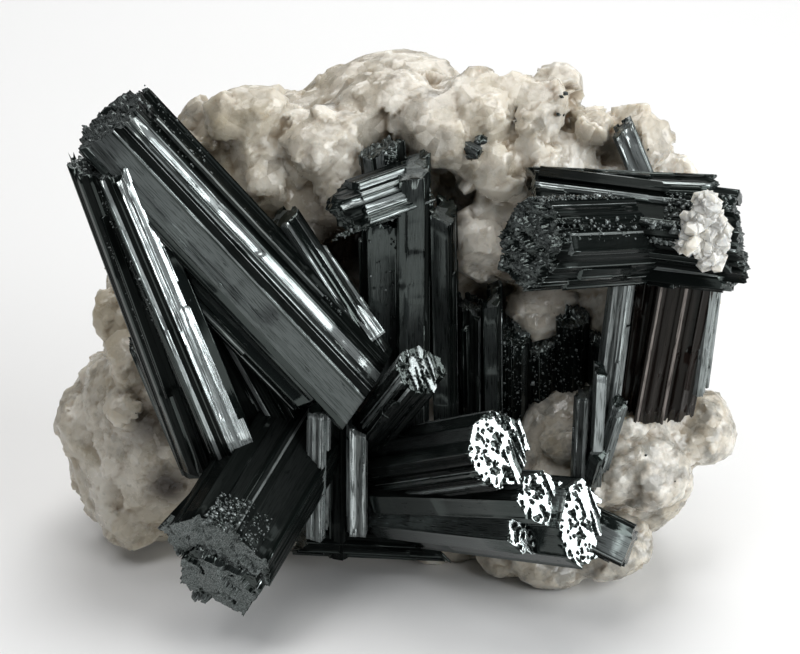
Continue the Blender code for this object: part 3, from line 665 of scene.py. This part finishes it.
def specks(prism, side, start, stop, left, right, count, size, draw):
    """Tiny crystals scattered over part of a side."""
    _, across, out = prism_axes(prism)
    corners = prism.section
    a, b = corners[side], corners[(side + 1) % len(corners)]
    root, tip = Vector(prism.root), Vector(prism.tip)
    points, tones = [], []
    for _ in range(count):
        share = draw.uniform(left, right)
        x, y = (a[k] + (b[k] - a[k]) * share for k in (0, 1))
        centre = root.lerp(tip, draw.uniform(start, stop))
        centre = centre + across * x * prism.width / 2 * SPECK_SINK + out * y * prism.depth / 2 * SPECK_SINK
        half = size * draw.lognormvariate(0, 0.35)
        turn = random_turn(draw, 0, 6.3)
        points.append(np.array(centre) + (OCTAHEDRON * three(draw, 0.6, 1.3) * half) @ turn.T)
        tones.append(np.full(len(OCTAHEDRON_FACES), 0.5 * draw.random() ** 4))
    faces = np.concatenate([OCTAHEDRON_FACES + len(OCTAHEDRON) * k for k in range(count)])
    number = len(faces)
    uv = np.zeros((faces.size, 2))
    return Shell(
        np.concatenate(points), faces.ravel(), np.full(number, 3), uv, np.concatenate(tones), np.zeros(number)
    )


def joined(name, shells):
    """One mesh object of several shells."""
    start = np.cumsum([0] + [len(shell.points) for shell in shells])
    shells = [shell._replace(loops=shell.loops + first) for shell, first in zip(shells, start)]
    points, loops, sizes, uv, tone, kind = (np.concatenate(arrays) for arrays in zip(*shells))
    mesh = bpy.data.meshes.new(name)
    mesh.vertices.add(len(points))
    write(mesh.vertices, "co", (points - (ORIGIN_X, ORIGIN_Y, 0)) * MM)
    mesh.loops.add(len(loops))
    write(mesh.loops, "vertex_index", loops, np.int32)
    mesh.polygons.add(len(sizes))
    write(mesh.polygons, "loop_start", np.cumsum(sizes) - sizes, np.int32)
    write(mesh.polygons, "loop_total", sizes, np.int32)
    write(mesh.polygons, "material_index", kind, np.int32)
    write(mesh.uv_layers.new(name="grain").data, "uv", uv)
    write(mesh.attributes.new("tone", "FLOAT", "FACE").data, "value", tone)
    mesh.update(calc_edges=True)
    mesh.validate()
    work = bmesh.new()
    work.from_mesh(mesh)
    bmesh.ops.recalc_face_normals(work, faces=work.faces)
    work.to_mesh(mesh)
    work.free()
    return link(name, mesh)


def make_crystals(materials):
    for node, prisms in CRYSTALS.items():
        draw = random.Random(node)
        shells = []
        for prism in prisms:
            length = (Vector(prism.tip) - Vector(prism.root)).length
            shells.append(swept_crystal(prism, draw, int(3 + length * 0.7)))
            for _ in range(prism.side):
                shells.append(swept_crystal(beside(prism, draw), draw, 4))
        for row, *rest in SPECKS.get(node, []):
            shells.append(specks(prisms[row], *rest, draw))
        as_piece(joined(node + "_striated", shells), materials, node)


# Stone


def unit_ball(subdivisions):
    """Corners and triangles of a sphere of radius 1."""
    mesh = bmesh.new()
    bmesh.ops.create_icosphere(mesh, subdivisions=subdivisions, radius=1.0)
    corners = np.array([corner.co for corner in mesh.verts])
    faces = np.array([[corner.index for corner in face.verts] for face in mesh.faces])
    mesh.free()
    return corners, faces


def stone_points(ball, lump, facets, draw):
    """A lump with flats, in metres."""
    x, y, z, *half = lump
    points = ball.copy()
    for _ in range(facets):
        aim = random_way(draw)
        past = points @ aim - draw.uniform(0.62, 0.9)
        points -= np.clip(past, 0, None)[:, None] * aim
    return np.array(place((x, y, z))) + (points * half) @ random_turn(draw, -0.25, 0.25).T * MM


def block_points(ball, centre, half, draw):
    """A grain as a rounded, skewed block, in metres."""
    turn = random_turn(draw, 0, 3.1)
    box = ball / np.abs(ball).max(1)[:, None]
    points = ball + (box - ball) * draw.uniform(0.5, 0.8)
    points[:, 0] += draw.uniform(-0.35, 0.35) * points[:, 1]
    for _ in range(2):
        aim = random_way(draw)
        points -= np.clip(points @ aim - draw.uniform(0.75, 1.1), 0, None)[:, None] * aim
    return np.array(centre) + (points * half) @ turn.T * MM


def solid_object(name, *groups):
    """One object of closed bodies: each group is arrays of points that share one set of faces."""
    points, corners, start = [], [], 0
    for bodies, faces in groups:
        for body in bodies:
            points.append(body)
            corners.append(faces + start)
            start += len(body)
    data = bpy.data.meshes.new(name)
    data.from_pydata(np.concatenate(points).tolist(), [], np.concatenate(corners).tolist())
    return link(name, data)


def crystal_hollow(point):
    """Whether a place is where the crystals leave no room for grains."""
    x, y, z = point
    return y < 1 and (-21 < x < 12 and 3 < z < 42 or 10 < x < 30 and 18 < z < 42)


def within_outline(point, room):
    """Whether a place keeps so much room inside the stone's outline."""
    x, y, z = point
    up = (z - VIEW_HEIGHT) * math.cos(VIEW_TILT) + y * math.sin(VIEW_TILT)
    inside = False
    for (x1, u1), (x2, u2) in zip(OUTLINE, OUTLINE[1:] + OUTLINE[:1]):
        share = ((x - x1) * (x2 - x1) + (up - u1) * (u2 - u1)) / ((x2 - x1) ** 2 + (u2 - u1) ** 2)
        share = max(0, min(1, share))
        if math.hypot(x1 + share * (x2 - x1) - x, u1 + share * (u2 - u1) - up) < room:
            return False
        if (u1 > up) != (u2 > up) and x < x1 + (up - u1) / (u2 - u1) * (x2 - x1):
            inside = not inside
    return inside


def scatter_grains(masses, count, draw):
    """Small grains half sunk in the masses, more of them in the larger ones."""
    grains = []
    areas = [a * c for _, _, _, a, _, c in masses]
    while len(grains) < count:
        x, y, z, a, b, c = draw.choices(masses, areas)[0]
        aim = random_way(draw) * (a, b, c)
        point = (x + aim[0] * SINK, y + aim[1] * SINK, z + aim[2] * SINK)
        size = three(draw, *SMALL_GRAIN_SIZE)
        kept = within_outline(point, EDGE_ROOM * max(size[0], size[2]))
        if kept and point[2] > 1 and not crystal_hollow(point):
            grains.append((*point, *size))
    return grains


def fuse(obj, voxel):
    """Makes one surface of an object's bodies."""
    modifier = obj.modifiers.new("fuse", "REMESH")
    modifier.mode = "VOXEL"
    modifier.voxel_size = voxel * MM
    bpy.context.view_layer.update()
    graph = bpy.context.evaluated_depsgraph_get()
    data = bpy.data.meshes.new_from_object(obj.evaluated_get(graph))
    obj.modifiers.clear()
    obj.data = data


def cut_flat_underside(stone):
    mesh = bmesh.new()
    mesh.from_mesh(stone.data)
    cut = bmesh.ops.bisect_plane(
        mesh,
        geom=mesh.verts[:] + mesh.edges[:] + mesh.faces[:],
        plane_co=(0, 0, 0),
        plane_no=(0, 0, -1),
        clear_outer=True,
    )
    rim = [item for item in cut["geom_cut"] if isinstance(item, bmesh.types.BMEdge)]
    bmesh.ops.edgeloop_fill(mesh, edges=rim)
    bmesh.ops.recalc_face_normals(mesh, faces=mesh.faces)
    mesh.to_mesh(stone.data)
    mesh.free()


def near_crystal(point, gap):
    """Whether a point (metres) is inside or just in front of a crystal."""
    for prisms in CRYSTALS.values():
        for prism in prisms:
            a, b = place(prism.root), place(prism.tip)
            way = b - a
            share = max(0, min(1, (point - a).dot(way) / way.length_squared))
            if (point - (a + way * share)).length < (max(prism.width, prism.depth) / 2 + gap) * MM:
                return True
    return False


def place_kind(x, z):
    """Which kind of stone the surface is, by place in millimetres."""
    return "sugar" if x > 8 and z < 27 else "top" if z > 33 else "left"


def block_bodies(stone, ball, draw):
    """Blocky grains half sunk in the stone's surface, away from the crystals."""
    corners = stone.data.vertices
    bodies = []
    for kind, (count, low, high) in BLOCKS.items():
        wanted = len(bodies) + count
        while len(bodies) < wanted:
            corner = corners[draw.randrange(len(corners))]
            x, _, z = corner.co / MM
            if z < 2 or kind != place_kind(x, z):
                continue
            size = draw.uniform(low, high)
            centre = corner.co - corner.normal * size * draw.uniform(0.5, 0.95) * MM
            inside = within_outline(centre / MM + Vector((ORIGIN_X, ORIGIN_Y, 0)), size)
            if inside and not near_crystal(centre, size + 0.2):
                bodies.append(block_points(ball, centre, size * three(draw, 0.7, 1.3), draw))
    return bodies


def smoothed(values, edges, rounds):
    """Values of the points, averaged with their neighbours' so many times."""
    count = len(values)
    a, b = edges.T
    degree = np.bincount(edges.ravel(), minlength=count)[:, None]
    for _ in range(rounds):
        total = [np.bincount(a, row[b], count) + np.bincount(b, row[a], count) for row in values.T]
        values = np.stack(total, 1) / degree
    return values


def sunk(points, normals, edges, rounds):
    """How far each point lies below the smoothed surface round it."""
    return ((smoothed(points, edges, rounds) - points) * normals).sum(1)


def nearness(points, spots, reach):
    """How near each point is to the nearest spot, from 0 to 1."""
    near = np.zeros(len(points))
    for *centre, radius in spots:
        far = np.linalg.norm(points - np.array(place(centre) / MM), axis=1)
        near = np.maximum(near, np.clip(reach - far / radius * 1.2, 0, 1))
    return near


def give_values(mesh, points, **values):
    """Point values for the material. Stain and shade is how dark brown a place is (partly stains, partly
    painted shade in hollows behind the crystals), warmth how beige, and
    speckle how sugary: the stone is warmer to the left and sugary low on the right."""
    x, _, z = points.T
    warmth = np.clip((-6 - x) / 8, 0, 1) * np.clip((z - 14) / 14, 0.4, 1)
    # Painted shade and stains: dark brown near the listed spots.
    values["stain_and_shade"] = nearness(points, STAINS_AND_SHADE, 1.4)
    values["warmth"] = np.maximum(warmth, nearness(points, WARM, 1.6))
    values["speckle"] = np.clip((x - 8) / 5, 0, 1) * np.clip((27 - z) / 6, 0, 1)
    for name, value in values.items():
        write(mesh.attributes.new(name, "FLOAT", "POINT").data, "value", value)


def grain_seeds(points, scale, draw):
    """The middles of grains over the surface, as point numbers, and their radii."""
    seeds, radii, taken = [], [], {}
    for index in draw.sample(range(len(points)), len(points) // 4):
        x, y, z = points[index]
        radius = GRAIN_SPACING[place_kind(x + ORIGIN_X, z)] * scale * draw.uniform(0.3, 0.8)
        cell = (int(x // 2), int(y // 2), int(z // 2))
        cells_near = product(*((k - 1, k, k + 1) for k in cell))
        near = [other for key in cells_near for other in taken.get(key, ())]
        gaps = (math.dist(points[seeds[k]], points[index]) - 0.8 * (radius + radii[k]) for k in near)
        if all(gap > 0 for gap in gaps):
            taken.setdefault(cell, []).append(len(seeds))
            seeds.append(index)
            radii.append(radius)
    return np.array(seeds), np.array(radii)


def grains(points, normals, scale, draw):
    """Height of a mosaic of flat grains at each point, how near an edge it is, and its grain."""
    picked, radii = grain_seeds(points, scale, draw)
    seeds = points[picked]
    tree = KDTree(len(seeds))
    for index, seed in enumerate(seeds):
        tree.insert(seed, index)
    tree.balance()
    near = [tree.find_n(point, 4) for point in points]
    index = np.array([[hit[1] for hit in hits] for hits in near])
    score = np.array([[hit[2] for hit in hits] for hits in near]) / radii[index]
    order = np.argsort(score, axis=1)
    own = np.take_along_axis(index, order[:, :1], 1)[:, 0]
    score = np.take_along_axis(score, order, 1)
    edge = 1 - np.clip((score[:, 1] - score[:, 0]) / GRAIN_EDGE, 0, 1)
    facing = normals[picked] + np.array([[draw.gauss(0, GRAIN_TILT) for _ in range(3)] for _ in seeds])
    facing /= np.linalg.norm(facing, axis=1)[:, None]
    lift = np.array([draw.gauss(0, GRAIN_LIFT) for _ in seeds]) * radii
    away = ((points - seeds[own]) * facing[own]).sum(1)
    height = lift[own] - GRAIN_FLAT * np.clip(away, -1.2, 1.2)
    height -= (1 - np.sqrt(1 - edge**2)) * GRAIN_CREASE * radii[own]
    return height, edge, own


def by_grain(own, draw):
    """A random value for each point, the same all over a grain."""
    return np.array([draw.random() for _ in range(own.max() + 1)])[own]


def grow_grains(stone, draw):
    """Raises grains from the surface and gives the values that colour them."""
    mesh = stone.data
    points = read(mesh.vertices, "co", 3, np.float32).astype(float) / MM
    edges = read(mesh.edges, "vertices", 2, np.int32)
    normals = smoothed(read(mesh.vertices, "normal", 3, np.float32).astype(float), edges, 6)
    normals /= np.linalg.norm(normals, axis=1)[:, None]
    free = np.clip(points[:, 2] / 1.5, 0, 1)
    for share in FILL:
        hollow = np.clip(sunk(points, normals, edges, 60), 0, 1.5)
        points += normals * (share * free * hollow)[:, None]
    coarse, edge, own = grains(points, normals, 1.0, draw)
    points += normals * (coarse * free)[:, None]
    rise = np.clip(by_grain(own, draw) * 1.4 - 0.2, 0.2, 1)
    fine, _, fine_own = grains(points, normals, SUBGRAINS, draw)
    points += normals * (fine * free * rise)[:, None]
    # Crevice tint and shade: partly a brown tint in the creases, partly painted shade, darker where the
    # surface sinks below its surroundings and along the edges of some grains.
    narrow = np.clip(sunk(points, normals, edges, 5) / 0.2, 0, 1)
    wide = np.clip(sunk(points, normals, edges, 40) / 0.9, 0, 1)
    edge_darkening = by_grain(own, draw) ** 2
    crevice = np.clip(narrow * 0.4 + wide * 0.6 + edge**3 * edge_darkening * 0.6, 0, 1)
    tint = 0.7 * by_grain(own, draw) + 0.3 * by_grain(fine_own, draw)
    give_values(mesh, points, crevice=crevice, tint=tint)
    write(mesh.vertices, "co", points * MM)
    mesh.update()


def make_matrix(material):
    draw = random.Random("matrix")
    lumps = MATRIX_MASS + MATRIX_GRAINS
    lumps += scatter_grains(MATRIX_MASS, SMALL_GRAINS, draw)
    ball, faces = unit_ball(3)
    bodies = [stone_points(ball, lump, 9, draw) for lump in lumps]
    plain = solid_object("matrix_mass", (bodies, faces))
    fuse(plain, MASS_VOXEL)
    small_ball, small_faces = unit_ball(2)
    blocks = block_bodies(plain, small_ball, random.Random("blocks"))
    bpy.data.objects.remove(plain)
    stone = solid_object("matrix_stone", (bodies, faces), (blocks, small_faces))
    fuse(stone, MATRIX_VOXEL)
    cut_flat_underside(stone)
    grow_grains(stone, random.Random("mosaic"))
    stone.data.shade_smooth()
    as_piece(stone, [material], "matrix")
    return stone


def on_stone(stone, x, up):
    """Where the line of sight through a place in the view meets the stone, and its normal there."""
    rise = Vector((0, math.sin(VIEW_TILT), math.cos(VIEW_TILT)))
    start = place((x, 0, VIEW_HEIGHT)) + rise * up * MM + TO_VIEWER * SIGHT_START
    hit, at, normal, _ = stone.ray_cast(start, -TO_VIEWER)
    return (at / MM, normal) if hit else None


def make_dark_bits(stone, materials):
    """Tiny dark crystals that stick out of the stone here and there."""
    draw = random.Random("bits")
    shells = []
    for x, up, spread, count, size in DARK_BITS:
        for _ in range(count):
            found = on_stone(stone, x + draw.gauss(0, spread), up + draw.gauss(0, spread))
            if not found:
                continue
            at, normal = found
            at += Vector((ORIGIN_X, ORIGIN_Y, 0))
            way = (normal + Vector(random_way(draw)) * 0.6).normalized()
            width = size * draw.uniform(0.5, 1.1)
            root = tuple(at - way * width)
            tip = tuple(at + way * width * draw.uniform(0.4, 1.4))
            prism = Prism(root, tip, width, width * 0.8, THIN, end="flat", lustre=0.1 * draw.random())
            shells.append(swept_crystal(prism, draw, 2))
    as_piece(joined("matrix_dark_crystals", shells), materials)


def make_tuft(material):
    """Small white grains, crowded together."""
    draw = random.Random("tuft grains")
    ball, faces = unit_ball(1)
    bodies = []
    for x, y, z, a, b, c in TUFT_GRAINS:
        for _ in range(int(20 + 14 * a * c)):
            aim = random_way(draw) * draw.uniform(0.3, 0.85)
            at = place((x + aim[0] * a, y + aim[1] * b, z + aim[2] * c))
            size = draw.uniform(0.4, 0.95)
            bodies.append(block_points(ball, at, size * three(draw, 0.6, 1.4), draw))
    tuft = solid_object("calcite_tuft_grains", (bodies, faces))
    as_piece(tuft, [material], "calcite_tuft")


# Materials


class Nodes:
    """Short names for building a node tree. An input is a socket or a plain value."""

    def __init__(self, name):
        self.material = bpy.data.materials.new(name)
        self.material.use_nodes = True
        self.tree = self.material.node_tree
        self.shader = self.tree.nodes["Principled BSDF"]

    def set(self, socket, value):
        if isinstance(value, bpy.types.NodeSocket):
            self.tree.links.new(value, socket)
        else:
            socket.default_value = value

    def add(self, kind, **inputs):
        node = self.tree.nodes.new(kind)
        for key, value in inputs.items():
            if key in node.inputs:
                self.set(node.inputs[key], value)
            else:
                setattr(node, key, value)
        return node

    def shade(self, inputs):
        """Gives the shader its inputs and returns the material."""
        for key, value in inputs.items():
            self.set(self.shader.inputs[key], value)
        return self.material

    def value(self, name):
        return self.add("ShaderNodeAttribute", attribute_name=name).outputs["Fac"]

    def scaled(self, vector, x, y):
        return self.add("ShaderNodeMapping", Scale=(x, y, 1), Vector=vector).outputs["Vector"]

    def noise(self, vector, scale, detail=3, rough=0.6):
        node = self.add("ShaderNodeTexNoise", Scale=scale, Detail=detail, Roughness=rough, Vector=vector)
        return node.outputs["Fac"]

    def ramp(self, value, *stops):
        node = self.add("ShaderNodeValToRGB", Fac=value)
        elements = node.color_ramp.elements
        while len(elements) < len(stops):
            elements.new(0.5)
        for element, (at, colour) in zip(elements, stops):
            element.position = at
            element.color = (*colour, 1) if isinstance(colour, tuple) else (colour, colour, colour, 1)
        return node.outputs["Color"]

    def mix(self, share, a, b):
        node = self.add("ShaderNodeMix", data_type="RGBA")
        self.set(node.inputs[0], share)
        for index, value in ((6, a), (7, b)):
            self.set(node.inputs[index], (*value, 1) if isinstance(value, tuple) else value)
        return node.outputs[2]

    def math(self, operation, a, b, kind="ShaderNodeMath", output=0):
        node = self.add(kind, operation=operation)
        self.set(node.inputs[0], a)
        self.set(node.inputs[1], b)
        return node.outputs[output]

    def times(self, a, b):
        return self.math("MULTIPLY", a, b)

    def vector(self, operation, a, b, output="Vector"):
        return self.math(operation, a, b, "ShaderNodeVectorMath", output)

    def facets(self, vector, scale):
        """Height of flats that each lean their own way, in metres."""
        cells = self.add("ShaderNodeTexVoronoi", Scale=scale, Vector=vector)
        lean = self.vector("SUBTRACT", cells.outputs["Color"], (0.5, 0.5, 0.5))
        away = self.vector("SUBTRACT", vector, cells.outputs["Position"])
        return self.vector("DOT_PRODUCT", away, lean, "Value")

    def bump(self, height, strength, distance, **under):
        inputs = {"Strength": strength, "Distance": distance, "Height": height, **under}
        return self.add("ShaderNodeBump", **inputs).outputs["Normal"]


def manganite(name, dark, glow, gloss=0.5, rough=(0.05, 0.2), ior=1.6):
    """Dark crystal that turns to bright metal where tone is high, with pits and fine lines."""
    m = Nodes(name)
    grain = m.add("ShaderNodeUVMap", uv_map="grain").outputs["UV"]
    lines = m.scaled(grain, 1, GRAIN_STRETCH)
    fine = m.noise(lines, 9)
    coarse = m.noise(lines, 3)
    pits = m.ramp(m.noise(m.scaled(grain, 2.6, 0.55), 1), (0.66, 0), (0.69, 1))
    shine = m.times(m.value("tone"), m.ramp(fine, (0.36, 0.15), (0.52, 1)))
    shine = m.times(shine, m.math("SUBTRACT", 1, m.times(pits, 0.8)))
    height = m.math("SUBTRACT", m.math("ADD", fine, coarse), m.times(pits, 1.5))
    inputs = {
        "Base Color": m.mix(shine, dark, glow),
        "Metallic": shine,
        "Roughness": m.ramp(coarse, (0.3, rough[0]), (0.7, rough[1])),
        "IOR": ior,
        "Specular IOR Level": gloss,
        "Specular Tint": (0.86, 1, 0.95, 1),
        "Normal": m.bump(height, 0.5, 0.00003),
    }
    return m.shade(inputs)


DARK_SPECK = (0.16, 0.15, 0.13)
SUGAR = (0.25, 0.245, 0.22)
# Dark brown for stains and for painted shade in hollows.
STAIN_AND_SHADE_BROWN = (0.035, 0.022, 0.011)


def calcite(name, white, light, grey, warm, beige, crevice, depth):
    """Translucent stone: one tint for each grain, then what lies over it, and a glassy relief."""
    m = Nodes(name)
    where = m.add("ShaderNodeTexCoord").outputs["Object"]
    wide = m.noise(where, 110, 3, 0.55)
    close = m.noise(where, 380, 4, 0.65)
    tint = m.math("ADD", m.times(m.value("tint"), 0.6), m.times(close, 0.4))
    colour = m.ramp(tint, (0.25, grey), (0.42, light), (0.62, white))
    overlays = (
        (m.ramp(wide, (0.44, 0), (0.7, 0.75)), warm),
        (m.ramp(close, (0.5, 0), (0.72, 0.5)), white),
        (m.ramp(m.noise(where, 1300, 2, 0.5), (0.64, 0), (0.74, 0.35)), DARK_SPECK),
        (m.times(m.value("warmth"), m.ramp(wide, (0.3, 0.25), (0.6, 0.75))), beige),
        (m.times(m.value("speckle"), m.ramp(m.noise(where, 520), (0.46, 0), (0.6, 0.75))), SUGAR),
        # Brown tint and painted shade in the creases and hollows.
        (m.value("crevice"), crevice),
        # Dark brown over stains and painted shade in hollows.
        (m.value("stain_and_shade"), STAIN_AND_SHADE_BROWN),
    )
    for share, over in overlays:
        colour = m.mix(share, colour, over)
    cells = m.add("ShaderNodeTexVoronoi", Scale=900, feature="SMOOTH_F1", Smoothness=0.3, Vector=where)
    height = m.math("SUBTRACT", m.noise(where, 700, 4), m.times(cells.outputs["Distance"], 0.6))
    inputs = {
        "Base Color": colour,
        "Roughness": m.ramp(close, (0.3, 0.16), (0.7, 0.42)),
        "IOR": 1.6,
        "Subsurface Weight": 0.55,
        "Subsurface Radius": (1, 0.85, 0.7),
        "Subsurface Scale": depth,
        "Normal": m.bump(height, 0.5, 0.0003, Normal=m.bump(m.facets(where, 700), 0.7, 0.8)),
    }
    return m.shade(inputs)


# Studio

WARM_LIGHT = (1, 0.99, 0.97)
FLOOR_HALF = 3.0  # metres


def area(name, at, size, power, colour=(1, 1, 1), aim=(0, 0, 25)):
    light = bpy.data.lights.new(name, "AREA")
    light.shape = "RECTANGLE"
    light.size, light.size_y = size[0] * MM, size[1] * MM
    light.energy = power
    light.color = colour
    obj = link(name, light)
    obj.location = Vector(at) * MM
    obj.rotation_euler = (Vector(aim) - Vector(at)).to_track_quat("-Z", "Y").to_euler()


def make_studio():
    mesh = bmesh.new()
    bmesh.ops.create_grid(mesh, x_segments=1, y_segments=1, size=FLOOR_HALF)
    floor = link("floor", bpy.data.meshes.new("floor"))
    mesh.to_mesh(floor.data)
    mesh.free()
    paper = {"Base Color": (0.82, 0.82, 0.82, 1), "Roughness": 0.7}
    floor.data.materials.append(Nodes("paper").shade(paper))
    world = bpy.data.worlds.new("studio")
    bpy.context.scene.world = world
    world.use_nodes = True
    sky = world.node_tree.nodes["Background"].inputs
    sky["Color"].default_value = (0.9, 0.95, 1.0, 1)
    sky["Strength"].default_value = 0.05
    area("overhead", (0, -20, 450), (210, 210), 0.7, WARM_LIGHT)
    area("front left", (-141, -141, 346), (150, 150), 0.35)
    area("window", (290, -165, 160), (280, 270), 1.3, (0.97, 0.99, 1))
    area("key", (110, 170, 380), (200, 200), 0.35, WARM_LIGHT)
    area("behind", (0, 330, 250), (300, 200), 0.6, aim=(0, 220, 0))
    area("floor fill", (120, -90, 110), (80, 80), 0.022, WARM_LIGHT, aim=(50, -45, 0))


def make_camera():
    camera = bpy.data.cameras.new("camera")
    camera.lens = 120
    camera.sensor_width = 36
    camera.clip_start = 0.01
    obj = link("camera", camera)
    obj.location = place((0, 0, VIEW_HEIGHT)) + TO_VIEWER * (VIEW_DISTANCE * MM)
    obj.rotation_euler = (-TO_VIEWER).to_track_quat("-Z", "Y").to_euler()
    bpy.context.scene.camera = obj


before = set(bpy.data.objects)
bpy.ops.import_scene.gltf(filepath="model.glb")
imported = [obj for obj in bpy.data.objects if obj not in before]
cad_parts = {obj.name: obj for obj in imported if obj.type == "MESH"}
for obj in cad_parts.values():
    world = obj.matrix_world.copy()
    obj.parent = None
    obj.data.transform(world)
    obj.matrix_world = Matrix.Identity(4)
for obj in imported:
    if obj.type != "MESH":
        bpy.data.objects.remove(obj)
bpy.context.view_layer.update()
bpy.context.scene.view_settings.view_transform = "Standard"
BLACK = manganite("manganite_black", (0.005, 0.007, 0.0065), (0.66, 0.72, 0.72))
BROWN = manganite("manganite_brown", (0.009, 0.0055, 0.0045), (0.46, 0.41, 0.38), 0.12)
# The darker, less glossy copy of the black: dull lustre on some striae, and painted shade on faces such as
# the lower left stub's.
SHADE = manganite("manganite_dull_and_shaded", (0.003, 0.004, 0.0037), (0.55, 0.6, 0.59), 0.1, (0.1, 0.3), 1.35)
make_crystals((BLACK, BROWN, SHADE))
GRANULAR = calcite(
    "calcite_granular",
    white=(0.67, 0.64, 0.575),
    light=(0.51, 0.475, 0.41),
    grey=(0.33, 0.315, 0.28),
    warm=(0.5, 0.445, 0.345),
    beige=(0.42, 0.365, 0.26),
    # Crevice colour: brown tint and painted shade in creases.
    crevice=(0.3, 0.23, 0.15),
    depth=0.0022,
)
WHITE = calcite(
    "calcite_white",
    white=(0.93, 0.9, 0.82),
    light=(0.86, 0.82, 0.74),
    grey=(0.72, 0.69, 0.62),
    warm=(0.84, 0.78, 0.68),
    beige=(0.8, 0.74, 0.66),
    # Crevice colour: brown tint and painted shade in creases.
    crevice=(0.3, 0.26, 0.22),
    depth=0.0015,
)
make_dark_bits(make_matrix(GRANULAR), (BLACK, BROWN, SHADE))
make_tuft(WHITE)
make_studio()
make_camera()
